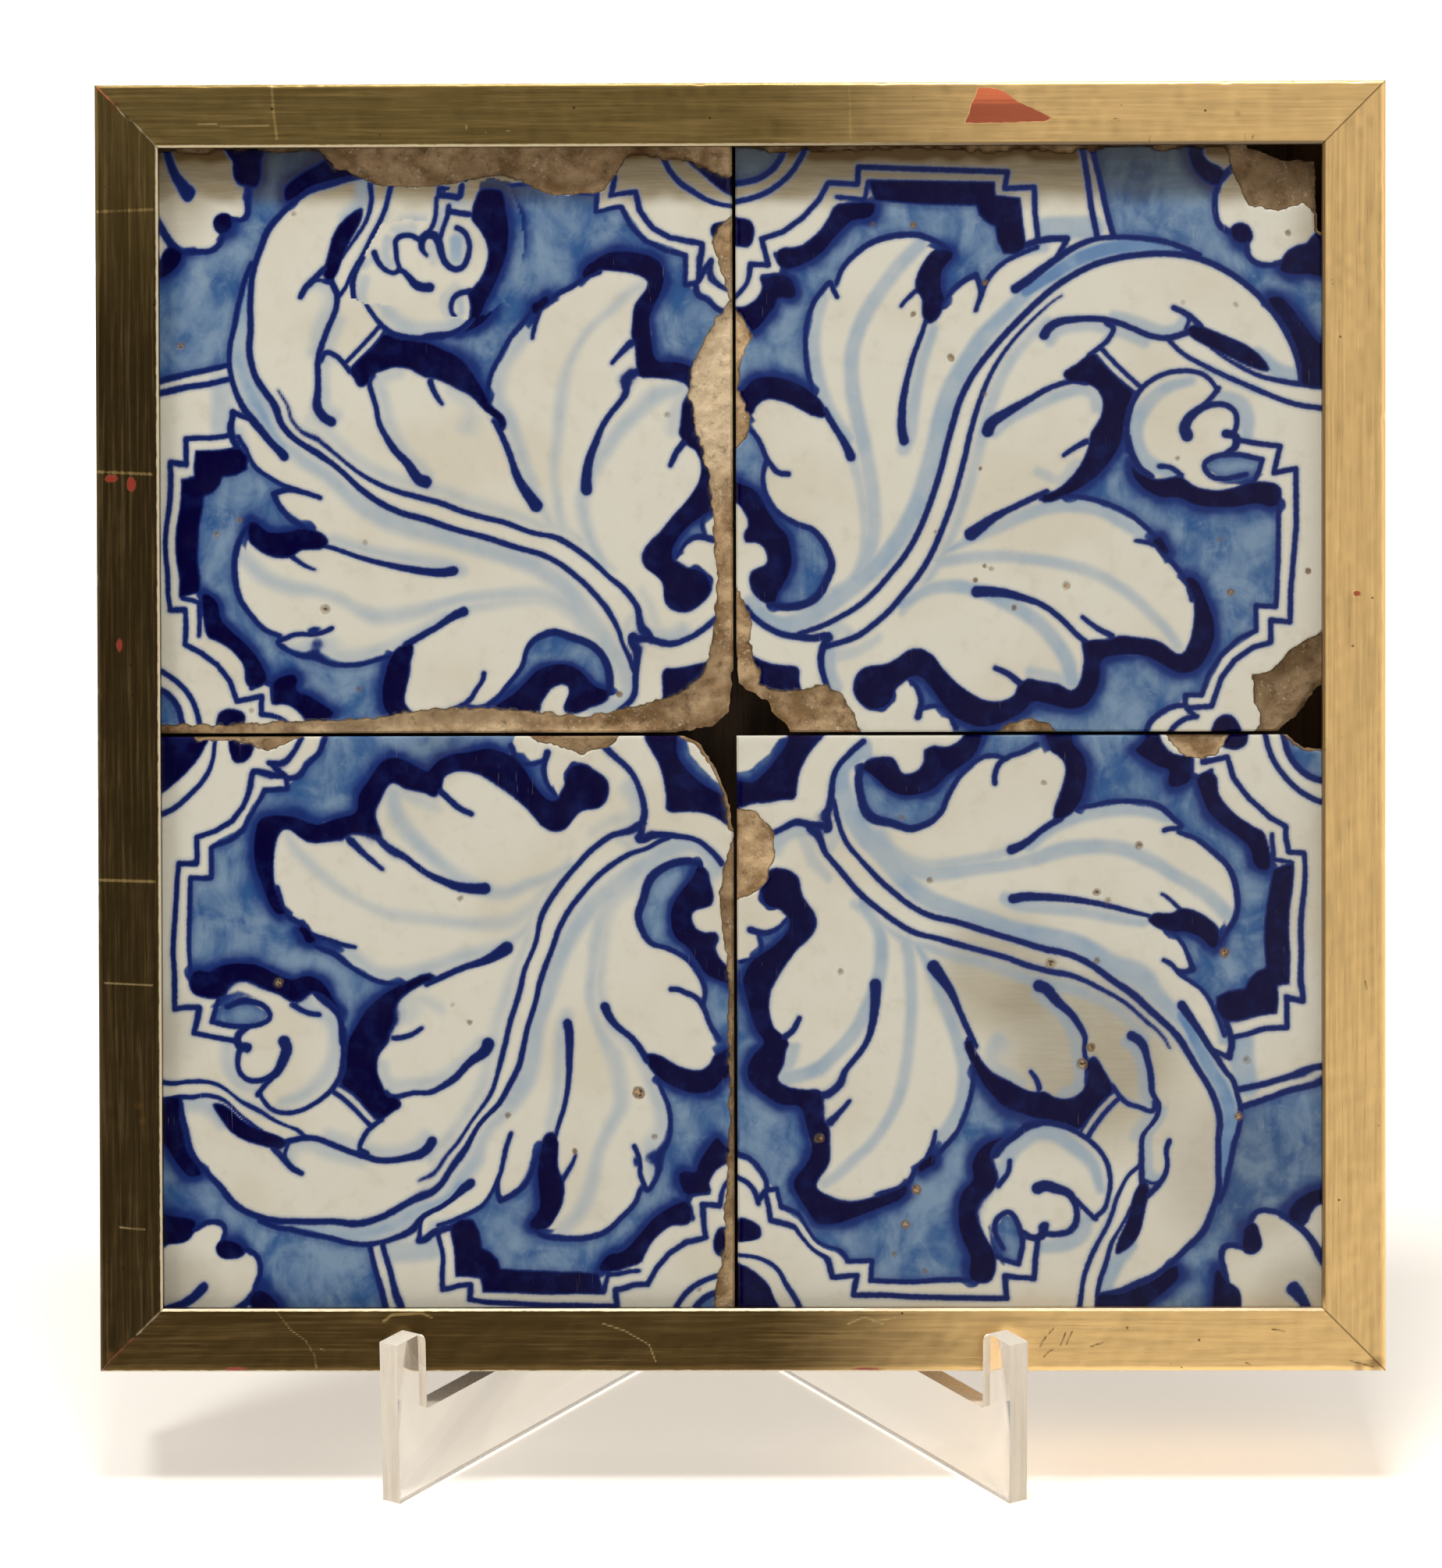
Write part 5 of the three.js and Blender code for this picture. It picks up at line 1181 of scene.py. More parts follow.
class Painting:
    """The four coats of the painted design, measured at places on one tile."""

    # how far round a landmark its stray holds in full, in millimetres
    softness = 3.0
    # how far the wash reaches past a dark fill beside it, in millimetres
    overlap = 1.3

    def __init__(self, tile: Corner, places: np.ndarray) -> None:
        """Measures each coat.

        Args:
            tile: The tile that is painted.
            places: Places on it, in millimetres from where the tiles meet.
        """
        turned = tile.in_design(places)
        drawn = self.without_strays(tile, turned)
        self.wash = np.full(len(drawn), -FAR)
        self.ink, self.pool = self.wash.copy(), self.wash.copy()
        self.weight, self.shade = np.zeros(len(drawn)), np.zeros(len(drawn))
        for path in WASHES:
            self.wash = np.maximum(self.wash, patch_distance(drawn, read_path(path)))
        # the two left tiles were painted with a wetter and paler brush
        blur, fainter = (1.5, 0.75) if tile in (Corner.TOP_LEFT, Corner.BOTTOM_LEFT) else (0.9, 1.0)
        self.paint(drawn, np.arange(len(drawn)), CONTOURS, BORDERS, BANDS, FILLS, SHADES, blur, fainter)
        if tile is Corner.TOP_LEFT:
            own = np.where(patch_distance(turned, read_path(BUD_REGION)) > 0)[0]
            self.wash[own] = patch_distance(turned[own], read_path(BUD_WASH))
            self.paint(turned[own], own, BUD_STROKES, (), (), BUD_FILLS, BUD_SHADES, 0.8, 0.9)
        self.wash = np.maximum(self.wash, np.minimum(self.wash, self.pool) + self.overlap)

    def paint(self, drawn: np.ndarray, where: np.ndarray, contours: Iterable[Stroke],
              borders: Iterable[Stroke], bands: Iterable[Path], fills: Iterable[Path],
              shades: Iterable[Shade], blur: float, fainter: float) -> None:
        """Lays the dark coats and the shading.

        Args:
            drawn: Places in the design.
            where: Their numbers among the tile's places.
            contours: Brush strokes that bend.
            borders: Brush strokes with corners.
            bands: Straight-sided patches of dark blue.
            fills: Round-sided ones.
            shades: Pale strokes.
            blur: How soft the pale strokes' edges are, in millimetres.
            fainter: How strong they are.
        """
        ink, weight = np.full(len(drawn), -FAR), np.zeros(len(drawn))
        pool, shade = np.full(len(drawn), -FAR), np.zeros(len(drawn))
        coats = []
        for strokes, load, bent in ((contours, 0.45, True), (borders, 0.5, False)):
            for widths, path in strokes:
                line = curve(read_path(path)) if bent else read_path(path)
                coats.append((stroke_distance(drawn, line, half_widths(line, widths)), load))
        for outlines, bent in ((bands, False), (fills, True)):
            for path in outlines:
                edge = curve(read_path(path), closed=True, step=1.2) if bent else read_path(path)
                coats.append((patch_distance(drawn, edge), 1.0))
                if bent:
                    pool = np.maximum(pool, coats[-1][0])
        for inside, load in coats:
            weight[inside > ink] = load
            ink = np.maximum(ink, inside)
        for widths, strength, path in shades:
            line = curve(read_path(path), step=1.0)
            inside = stroke_distance(drawn, line, half_widths(line, widths))
            shade = np.maximum(shade, fainter * strength * smooth_step(inside, -blur, blur))
        self.ink[where], self.weight[where], self.pool[where], self.shade[where] = ink, weight, pool, shade

    def without_strays(self, tile: Corner, places: np.ndarray) -> np.ndarray:
        """Moves places on a tile to where the design has them.

        Args:
            tile: The tile that is painted.
            places: Places on it, turned as the design is.

        Returns:
            The places in the design.
        """
        if tile is Corner.TOP_RIGHT:
            return places
        marks = np.array([read_path(row) for row in STRAYS])
        design, painted = marks[:, 0], marks[:, tile.column]
        moved = np.empty_like(places)
        for first in range(0, len(places), 20000):
            part = places[first:first + 20000]
            squares = ((part[:, None] - painted[None]) ** 2).sum(2)
            pull = 1 / (squares + self.softness ** 2) ** 2
            moved[first:first + 20000] = part + (pull @ (design - painted)) / pull.sum(1)[:, None]
        return moved


def select_none() -> None:
    """Leaves edit mode and deselects every object."""
    if bpy.context.object and bpy.context.object.mode != "OBJECT":
        bpy.ops.object.mode_set(mode="OBJECT")
    bpy.ops.object.select_all(action="DESELECT")


def take(piece: bpy.types.Object) -> None:
    """Makes one object the only one selected, and the active one."""
    select_none()
    piece.select_set(True)
    bpy.context.view_layer.objects.active = piece


def edit(piece: bpy.types.Object, mode: str = "VERT", everything: bool = True) -> None:
    """Opens a piece in edit mode with all of it selected, or none."""
    take(piece)
    bpy.ops.object.mode_set(mode="EDIT")
    bpy.ops.mesh.select_mode(type=mode)
    bpy.ops.mesh.select_all(action="SELECT" if everything else "DESELECT")


def close_edit(outward: bool = True) -> None:
    """Turns all faces outwards and leaves edit mode."""
    if outward:
        bpy.ops.mesh.select_all(action="SELECT")
        bpy.ops.mesh.normals_make_consistent(inside=False)
    bpy.ops.object.mode_set(mode="OBJECT")


def places_of(piece: bpy.types.Object) -> np.ndarray:
    """The places of a mesh's vertices, one row each."""
    found = np.empty(len(piece.data.vertices) * 3, np.float32)
    piece.data.vertices.foreach_get("co", found)
    return found.reshape(-1, 3).astype(float)


def put_places(piece: bpy.types.Object, places: np.ndarray) -> None:
    """Moves a mesh's vertices to these places."""
    piece.data.vertices.foreach_set("co", places.astype(np.float32).ravel())
    piece.data.update()


def store(piece: bpy.types.Object, name: str, values: np.ndarray) -> None:
    """Keeps a value for each vertex under a name that the materials read."""
    kept = piece.data.attributes.new(name, "FLOAT", "POINT")
    kept.data.foreach_set("value", values.astype(np.float32))


def apply_modifier(piece: bpy.types.Object, kind: str, **settings: Any) -> None:
    """Adds a modifier and applies it at once."""
    take(piece)
    modifier = piece.modifiers.new(kind.lower(), kind)
    for name, value in settings.items():
        setattr(modifier, name, value)
    bpy.ops.object.modifier_apply(modifier=modifier.name)


def hand_over(piece: bpy.types.Object, name: str, body: str, slot: str, finishes: list[bpy.types.Material],
              replaced: tuple[str, ...] = (), sharp: float = 35) -> bpy.types.Object:
    """Names, smooths and dresses a finished piece, and has it ride on its body.

    Args:
        piece: The piece, in its place.
        name: Its name.
        body: The body that it moves with.
        slot: The material slot that it belongs to; not used.
        finishes: Its materials, in the order of its faces' slots.
        replaced: The plain solids that it stands for.
        sharp: The angle past which an edge stays sharp, in degrees.

    Returns:
        The piece.
    """
    piece.name = piece.data.name = name
    piece.data.materials.clear()
    for finish in finishes:
        piece.data.materials.append(finish)
    take(piece)
    bpy.ops.object.shade_smooth_by_angle(angle=math.radians(sharp))
    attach(piece, body)
    if replaced:
        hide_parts(*replaced)
    log.info("%s: %d faces on %s", name, len(piece.data.polygons), body)
    return piece


@dataclass
class TilePanel:
    """The four tiles, with their broken corners and edges, and what they are bedded on."""

    axes: PanelAxes
    side: float = 140.0
    joint: float = 0.8
    recess: float = 4.8
    meeting: float = -1.4
    cells: int = 288
    rim: float = 0.8
    glaze_ragged: float = 0.7
    break_ragged: float = 0.5
    deepest: float = 3.2
    # how far behind the face each ring of the sides lies, and how far it strays inwards
    sides: tuple[tuple[float, float], ...] = ((1.6, 0.25), (6.0, 0.45), (13.0, 0.0))
    worn_top: float = 2.4
    body: str = "framed_panel"

    def build(self) -> None:
        """Makes the tiles and dresses the mortar and the board."""
        glaze = TinGlaze().build(self.axes)
        for tile in Corner:
            self.build_tile(tile, glaze)

    def broken(self, tile: Corner, places: np.ndarray, losses: dict[str, tuple[Path, ...]],
               ragged: float) -> np.ndarray:
        """How far places lie inside a tile's losses, along ragged edges.

        Args:
            tile: The tile.
            places: Places on it, in millimetres from where the tiles meet.
            losses: The outlines of each tile's losses.
            ragged: How far the edge strays, in millimetres.

        Returns:
            The distance inside, negative outside.
        """
        found = np.full(len(places), -FAR)
        for path in losses[tile.label]:
            found = np.maximum(found, patch_distance(places, read_path(path)))
        chance = 0.6 * clouds(places, 2.3, tile.turns) + 0.4 * clouds(places, 0.9, tile.turns + 9)
        return found + ragged * chance

    def build_tile(self, tile: Corner, glaze: bpy.types.Material) -> None:
        """Models one tile: a fine grid, opened and worn away where it broke, with its sides and back.

        Args:
            tile: The tile.
            glaze: Its material.
        """
        cells = self.cells
        across, up = (1 if "right" in tile.label else -1), (1 if "top" in tile.label else -1)
        offset = (self.joint + self.side) / 2
        middle = np.array([offset * across, offset * up])
        select_none()
        bpy.ops.mesh.primitive_grid_add(x_subdivisions=cells, y_subdivisions=cells, size=self.side,
                                        location=(*middle, 0))
        piece = bpy.context.object
        bpy.ops.object.transform_apply(location=True)
        self.open_losses(piece, tile)
        face = places_of(piece)
        flat = face[:, :2]
        loss = self.broken(tile, flat, GLAZE_LOSSES, self.glaze_ragged)
        gone = self.broken(tile, flat, THROUGH_LOSSES, self.break_ragged)
        pit = self.pits(tile, flat)
        edge = self.side / 2 - np.abs(flat - middle).max(1)
        under = flat[:, 1] - self.side - self.joint / 2
        loss = np.maximum(loss, under + self.worn_top + 0.9 * clouds(flat * (1, 0), 6, tile.turns)
                          + 0.6 * clouds(flat, 1.7, 2))
        # first the step down from the glaze, then the slow hollow and the crumbling of the clay
        sunk = np.clip(loss * 1.5, 0, 0.9) + np.clip(loss - 0.6, 0, 5) * 0.22
        sunk += smooth_step(loss, 0, 1.5) * (0.28 * clouds(flat, 1.7, 3) + 0.3 * clouds(flat, 4.5, 4))
        sunk += np.clip(gone + 1.2, 0, 2) * 0.6 + smooth_step(pit, -0.1, 0.5) * 0.35
        # the glaze rolls over at the rim, and is never quite flat
        rolled = np.clip(self.rim - edge, 0, self.rim)
        sunk += self.rim - np.sqrt(self.rim ** 2 - rolled ** 2) + 0.05 * (1 + clouds(flat, 9, 5))
        face[:, 2] = -np.clip(sunk, 0, self.deepest)
        put_places(piece, face)
        painting = Painting(tile, flat)
        top = len(face)
        for depth, waver in self.sides:
            self.extrude_sides(piece, middle, depth, waver)
        added = len(piece.data.vertices) - top
        # the stain holds the listed stains and the painted shadow under the frame's top lip
        stored = (
            ("ink", painting.ink, -FAR), ("weight", painting.weight, 0), ("wash", painting.wash, -FAR),
            ("shade", painting.shade, 0), ("pool", painting.pool, -FAR),
            ("loss", np.maximum(loss, gone + 0.8), 3), ("pit", pit, -1),
            ("tone", self.near_spots(flat, TONES[tile.label]), 0.2), ("stain", self.soiled_and_shaded(tile, flat), 0.3))
        for name, values, on_sides in stored:
            store(piece, name, np.concatenate([values, np.full(added, float(on_sides))]))
        edit(piece)
        bpy.ops.mesh.select_all(action="DESELECT")
        bpy.ops.mesh.select_non_manifold()
        bpy.ops.mesh.edge_face_add()
        close_edit()
        piece.data.transform(Matrix.Translation((self.meeting, self.meeting, -self.recess)))
        piece.data.transform(self.axes.matrix())
        hand_over(piece, f"glazed_tile_{tile.label}", self.body, "tin_glaze", [glaze],
                  (f"tile_{tile.label}",))

    def open_losses(self, piece: bpy.types.Object, tile: Corner) -> None:
        """Deletes the faces where a tile is gone right through, and draws its edge to the outline.

        Args:
            piece: The tile's grid.
            tile: Which tile it is.
        """
        flat = places_of(piece)[:, :2]
        gone = self.broken(tile, flat, THROUGH_LOSSES, self.break_ragged) > 0
        corners = np.empty(len(piece.data.loops), np.int32)
        piece.data.loops.foreach_get("vertex_index", corners)
        lost = gone[corners].reshape(-1, 4).all(1)
        edit(piece, "FACE", everything=False)
        bpy.ops.object.mode_set(mode="OBJECT")
        piece.data.polygons.foreach_set("select", lost)
        bpy.ops.object.mode_set(mode="EDIT")
        bpy.ops.mesh.delete(type="FACE")
        bpy.ops.object.mode_set(mode="OBJECT")
        face = places_of(piece)
        for _ in range(2):
            inside = self.broken(tile, face[:, :2], THROUGH_LOSSES, self.break_ragged)
            over = np.where(inside > 0)[0]
            step = 0.05
            slope = np.stack([
                self.broken(tile, face[over, :2] + move, THROUGH_LOSSES, self.break_ragged) - inside[over]
                for move in ((step, 0), (0, step))], 1)
            slope /= np.maximum(np.hypot(*slope.T)[:, None], 1e-6)
            face[over, :2] -= slope * np.minimum(inside[over], 0.5)[:, None]
        put_places(piece, face)

    def extrude_sides(self, piece: bpy.types.Object, middle: np.ndarray, depth: float, waver: float) -> None:
        """Carries a tile's open edge back to a depth.

        Args:
            piece: The tile.
            middle: The middle of the tile.
            depth: How far behind the face its sides now reach, in millimetres.
            waver: How far the sides stray inwards.
        """
        before = len(piece.data.vertices)
        edit(piece, "EDGE", everything=False)
        bpy.ops.mesh.select_non_manifold()
        bpy.ops.mesh.extrude_region_move()
        bpy.ops.object.mode_set(mode="OBJECT")
        face = places_of(piece)
        sides = face[before:]
        sides[:, 2] = np.minimum(sides[:, 2], -depth) if waver else -depth
        rough = waver * (0.5 + 0.5 * clouds(sides[:, :2] * 3 + depth, 2.1, 7))
        away = sides[:, :2] - middle
        sides[:, :2] -= rough[:, None] * away / np.maximum(np.abs(away).max(1)[:, None], 1)
        put_places(piece, face)

    def pits(self, tile: Corner, places: np.ndarray) -> np.ndarray:
        """How far places lie inside a tile's pits, negative outside and no lower than -1."""
        drawn = tile.in_design(places)
        found = np.full(len(places), -1.0)
        for x, y, radius in PITS[tile.label]:
            ragged = 0.25 * clouds(drawn, 0.8, int(x))
            found = np.maximum(found, radius - np.hypot(drawn[:, 0] - x, drawn[:, 1] - y) + ragged)
        return found

    @staticmethod
    def near_spots(places: np.ndarray, spots: Iterable[Spot]) -> np.ndarray:
        """How strongly places are touched by spots given as across, up, reach and strength."""
        found = np.zeros(len(places))
        for x, y, reach, strength in spots:
            near = smooth_step(-np.hypot(places[:, 0] - x, places[:, 1] - y), -reach, -reach / 3)
            found = found + near * strength
        return np.clip(found, -1, 1)

    def soiled_and_shaded(self, tile: Corner, places: np.ndarray) -> np.ndarray:
        """How dirty the glaze is at its listed stains, and the painted shadow of the frame's top lip on it.
        """
        height = places[:, 1] + 0.8 * clouds(places, 4, 8)
        # painted shadow of the frame's top lip: a band that fades out 16.5 mm below the top edge, and is
        # darkest in its uppermost 6 mm
        shade_under_lip = 0.88 * smooth_step(height, self.side - 16.5, self.side - 11)
        shade_under_lip += 0.7 * smooth_step(height, self.side - 6, self.side - 1)
        return np.maximum(self.near_spots(places, STAINS[tile.label]), shade_under_lip)


@dataclass
class GiltFrame:
    """Four mitred rails with rounded outer edges, gilded, knocked and rubbed, with painted highlights and
    shade along their edges.
    """

    axes: PanelAxes
    half: float = 152.4
    width: float = 14.9
    wall: float = 10.3
    lip: float = 4.5
    depth: float = 30.0
    rounding: float = 1.0
    bevel: float = 0.6
    mitre_gap: float = 0.02
    steps: int = 600
    front_spacing: float = 0.5
    back_spacing: float = 2.5
    round_steps: int = 4
    nail_inset: float = 3.0
    nail_leg: float = 6.0
    nail_thickness: float = 0.8
    nail_depth: float = 10.0
    fit: float = 0.3
    body: str = "framed_panel"

    def section(self) -> np.ndarray:
        """The rail's outline as points of inward reach and depth, from the front's outer edge round."""
        corners = [(self.rounding, 0.0), (self.width - self.bevel, 0.0), (self.width, self.bevel),
                   (self.width, self.lip), (self.wall, self.lip), (self.wall, self.depth),
                   (0.0, self.depth), (0.0, self.rounding)]
        points = []
        for (ax, ay), (bx, by) in zip(corners[:-1], corners[1:]):
            spacing = self.front_spacing if ay < self.lip else self.back_spacing
            count = max(1, round(math.hypot(bx - ax, by - ay) / spacing))
            points += [(ax + (bx - ax) * k / count, ay + (by - ay) * k / count) for k in range(count)]
        for k in range(self.round_steps + 1):
            turn = math.pi / 2 * k / self.round_steps
            points.append((self.rounding * (1 - math.cos(turn)), self.rounding * (1 - math.sin(turn))))
        return np.array(points)

    def build(self) -> None:
        """Makes the four rails."""
        gold = {grain: Gilding().build(self.axes, grain) for grain in Grain}
        for turns, name in enumerate(("bottom", "right", "top", "left")):
            self.build_rail(name, turns, gold[Grain.ACROSS if turns % 2 == 0 else Grain.UP])

    def build_rail(self, name: str, turns: int, gold: bpy.types.Material) -> None:
        """Models one rail from a grid wrapped round its section.

        Args:
            name: Which rail it is.
            turns: Its quarter turns from the bottom one.
            gold: Its material.
        """
        section = self.section()
        steps = self.steps
        select_none()
        bpy.ops.mesh.primitive_grid_add(x_subdivisions=steps, y_subdivisions=len(section) - 1, size=2)
        piece = bpy.context.object
        grid = places_of(piece)
        row = np.rint((grid[:, 1] + 1) / 2 * (len(section) - 1)).astype(int)
        inward, deep = section[row].T
        run = grid[:, 0] * (self.half - inward - self.mitre_gap)
        put_places(piece, self.turned(np.stack([run, inward - self.half, -deep], 1), turns))
        edit(piece)
        bpy.ops.mesh.remove_doubles(threshold=0.01)
        bpy.ops.mesh.fill_holes(sides=0)
        close_edit()
        for corner in (turns, turns + 1):
            self.cut_pocket(piece, corner)
        self.knock(piece, turns)
        self.store_wear(piece, turns)
        piece.data.transform(self.axes.matrix())
        hand_over(piece, f"gilded_rail_{name}", self.body, "gilded_wood", [gold], (f"rail_{name}",), 40)

    @staticmethod
    def turned(places: np.ndarray, turns: int) -> np.ndarray:
        """Turns places about the panel's middle by quarter turns to the left."""
        x, y, z = places.T
        return np.stack([*[(x, y), (-y, x), (-x, -y), (y, -x)][turns % 4], z], 1)

    def cut_pocket(self, piece: bpy.types.Object, corner: int) -> None:
        """Cuts the pocket of a V-nail out of a rail.

        Args:
            piece: The rail.
            corner: Quarter turns from the bottom left corner to the nail's.
        """
        near = self.half - self.nail_inset
        half = self.nail_thickness / 2 + self.fit
        low, high = -self.depth - 1, -self.depth + self.nail_depth + self.fit
        select_none()
        bpy.ops.mesh.primitive_cube_add(size=1)
        cutter = bpy.context.object
        put_places(cutter, places_of(cutter) * (2 * half, 2 * half, high - low)
                   + (-near, -near, (low + high) / 2))
        for side in (0, 1):
            edit(cutter, "FACE", everything=False)
            bpy.ops.object.mode_set(mode="OBJECT")
            face = max(cutter.data.polygons, key=lambda f: (round(f.normal[side], 3), f.center[side]))
            face.select = True
            bpy.ops.object.mode_set(mode="EDIT")
            reach = Vector((0, 0, 0))
            reach[side] = self.nail_leg + self.fit - half
            bpy.ops.mesh.extrude_region_move(TRANSFORM_OT_translate={"value": reach})
            bpy.ops.object.mode_set(mode="OBJECT")
        put_places(cutter, self.turned(places_of(cutter), corner))
        apply_modifier(piece, "BOOLEAN", operation="DIFFERENCE", solver="EXACT", object=cutter)
        bpy.data.objects.remove(cutter)

    def knock(self, piece: bpy.types.Object, turns: int) -> None:
        """Wears a rail's edges and lets its face waver, never outwards.

        Args:
            piece: The rail.
            turns: Its quarter turns from the bottom one.
        """
        rail = places_of(piece)
        across, up, out = rail.T
        reach = self.half - np.maximum(np.abs(across), np.abs(up))
        along = np.stack([across + up, across - up], 1)
        # the face alone wavers, and the outer edge has a nick here and there
        front = smooth_step(out, -1.2, -0.2)
        rail[:, 2] -= front * (0.05 * (1 + clouds(along, 11, turns))
                               + 0.04 * (1 + clouds(rail[:, :2], 2.5, turns)))
        nick = smooth_step(clouds(along, 5.3, turns + 20), 0.55, 0.95) * smooth_step(-reach, -1.0, 0)
        rail[:, 2] -= 0.3 * nick * smooth_step(out, -2.5, -0.6)
        put_places(piece, rail)

    def store_wear(self, piece: bpy.types.Object, turns: int) -> None:
        """Keeps how worn, scratched, chipped and dirty a rail is at each vertex, and where its edges carry a
        painted highlight.

        Args:
            piece: The rail.
            turns: Its quarter turns from the bottom one.
        """
        rail = places_of(piece)
        flat = rail[:, :2]
        wear = np.full(len(flat), -FAR)
        for path in WORN_PATCHES:
            wear = np.maximum(wear, patch_distance(flat, read_path(path)))
        for x, y, wide, high in WORN_SPOTS:
            share = np.hypot((flat[:, 0] - x) / wide, (flat[:, 1] - y) / high)
            wear = np.maximum(wear, (1 - share) * min(wide, high))
        wear = np.maximum(wear, self.lines(flat, WORN_MITRES, 0.1))
        scratch = self.lines(flat, SCRATCHES, 0.08)
        laps = self.lines(flat, LEAF_LAPS, 0.2)
        reach = self.half - np.abs(flat).max(1)
        # pale chips at the left mitres
        rubbed = self.lines(flat, CHIPPED_MITRES, 0.1)
        # painted highlight: a pale line along the inner edge of every rail but the right one, and along the
        # outer edge of the level ones
        if turns != 1:
            rubbed = np.maximum(rubbed, reach - self.width + 0.45)
        if turns % 2 == 0:
            rubbed = np.maximum(rubbed, 0.25 - reach)
        seam = np.maximum(self.lines(flat, OPEN_MITRES, 0.0), self.lines(flat, DARK_NICKS, 0.06))
        grime = np.full(len(flat), -FAR)
        for x, y, reach in GRIMY_PLACES:
            grime = np.maximum(grime, reach - np.hypot(flat[:, 0] - x, flat[:, 1] - y))
        beyond = rail[:, 2] < -self.rounding * 1.5
        for name, values in (("wear", wear), ("scratch", scratch), ("grime", grime), ("lap", laps),
                             ("rubbed", rubbed), ("seam", seam)):
            store(piece, name, np.where(beyond, -FAR, values))

    @staticmethod
    def lines(places: np.ndarray, drawn: Iterable[Path], half: float) -> np.ndarray:
        """How far places lie inside thin lines of this half width."""
        found = np.full(len(places), -FAR)
        for path in drawn:
            line = read_path(path)
            found = np.maximum(found, stroke_distance(places, line, np.full(len(line), half)))
        return found


# Places on the frame's face, in millimetres across and up from the panel's middle.
# Where the gold is worn through to the red clay
WORN_PATCHES: tuple[Path, ...] = (
    "56.4,150.9 60.8,150.6 63.5,149.2 66,147.4 69,146 73.8,143.7 72,142.9 64,142.7 53.2,142.6 54.2,145",
)
WORN_SPOTS: tuple[Spot, ...] = (
    (-144, 58, 1.0, 1.6), (-148.6, 59.4, 1.4, 0.8), (-147, 20, 0.6, 1.4), (145.5, 31.5, 0.8, 0.6),
    (-120, -151.8, 2, 0.5), (30, -151.9, 3, 0.4),
)
SCRATCHES: tuple[Path, ...] = (
    "-110.5,-138 -107,-142.5 -103.5,-145 -101.5,-148.4 -101,-151.5",
    "-33,-141 -28,-142.6 -22,-146 -20.5,-150",
    "-122.6,142.3 -111,142.6", "-151,-60 -139.5,-60.6",
    "25,-141.2 29,-139.4 33.5,-141.2", "31,-140.6 36.5,-139.6", "-128,142.9 -123.5,143",
    "-64.4,142.6 -64.4,141.4", "-59.9,140.7 -59.5,140.9", "-55,141.2 -54.2,141",
    "-100,-147 -99,-147.3", "-147.6,-118 -141.5,-118.6",
)
LEAF_LAPS: tuple[Path, ...] = (
    "-110.4,152 -110,146 -109.2,139.4", "26,152 26.3,139", "-152,122.4 -138.4,122.9",
    "-152,61 -139,60.4", "-152,-35.6 -139,-36",
    "-85,-140.4 -83,-138.9 -76,-138.4 -73.6,-139.6",
)
OPEN_MITRES: tuple[Path, ...] = (
    "152.4,152.4 137.5,137.5", "152.4,-152.4 137.5,-137.5",
    "-137.5,137.5 -147,147", "-152.4,-152.4 -137.5,-137.5",
)
DARK_NICKS: tuple[Path, ...] = (
    "88.4,143.5 89.6,143.2", "96.7,139.4 96.7,137.7", "119.2,139.8 119.3,138",
    "121.2,139.6 120.8,138.4", "70.5,-146.7 71.2,-145.2 72.1,-144.1",
    "72.7,-143.4 73.8,-142.2", "75.4,-146.3 76.1,-144.8 76.6,-143.2",
    "76.7,-146.1 77.4,-144.4 78.2,-142.9", "71.5,-149 72.4,-147.9 73.8,-147.1",
    "82.4,-146.7 84,-146 85.6,-145.6", "119.2,-150.4 120.4,-150.8", "144,-150 149.5,-151.4",
    "125.5,-142.5 128.5,-142.9", "147.5,-60 147.8,-62",
)
WORN_MITRES: tuple[Path, ...] = (
    "-151.8,151.8 -147.5,147.6", "-151.6,-151.6 -144.5,-144.5",
)
CHIPPED_MITRES: tuple[Path, ...] = (
    "-147.2,147.2 -144.8,144.5 -143.4,143.6 -137.6,137.6", "-143.8,-143.8 -137.8,-137.8",
)
# Dirt and old varnish: across, up and reach
GRIMY_PLACES: tuple[tuple[float, float, float], ...] = (
    (150, -150.6, 1.8), (146, -151.6, 1.2),
    (-148, 147, 1.5), (-149.5, -149, 1.4), (117.5, 144.6, 0.6), (-142, -93, 0.8), (-143, -89, 0.8),
)


def softened_copy(node: bpy.types.Object, round_by: float, segments: int = 3) -> bpy.types.Object:
    """Copies a plain solid and rounds its edges.

    Args:
        node: The solid to copy.
        round_by: The radius of its edges, in millimetres.
        segments: How many faces go round each edge.

    Returns:
        The copy.
    """
    select_none()
    piece = bpy.data.objects.new("copy", node.data.copy())
    for key in list(piece.keys()):
        del piece[key]
    bpy.context.scene.collection.objects.link(piece)
    edit(piece)
    bpy.ops.mesh.remove_doubles(threshold=0.002 * MM)
    bpy.ops.mesh.dissolve_limited(angle_limit=math.radians(0.5))
    close_edit(outward=False)
    apply_modifier(piece, "BEVEL", width=round_by * MM, segments=segments, limit_method="ANGLE",
                   angle_limit=math.radians(40), use_clamp_overlap=True)
    return piece


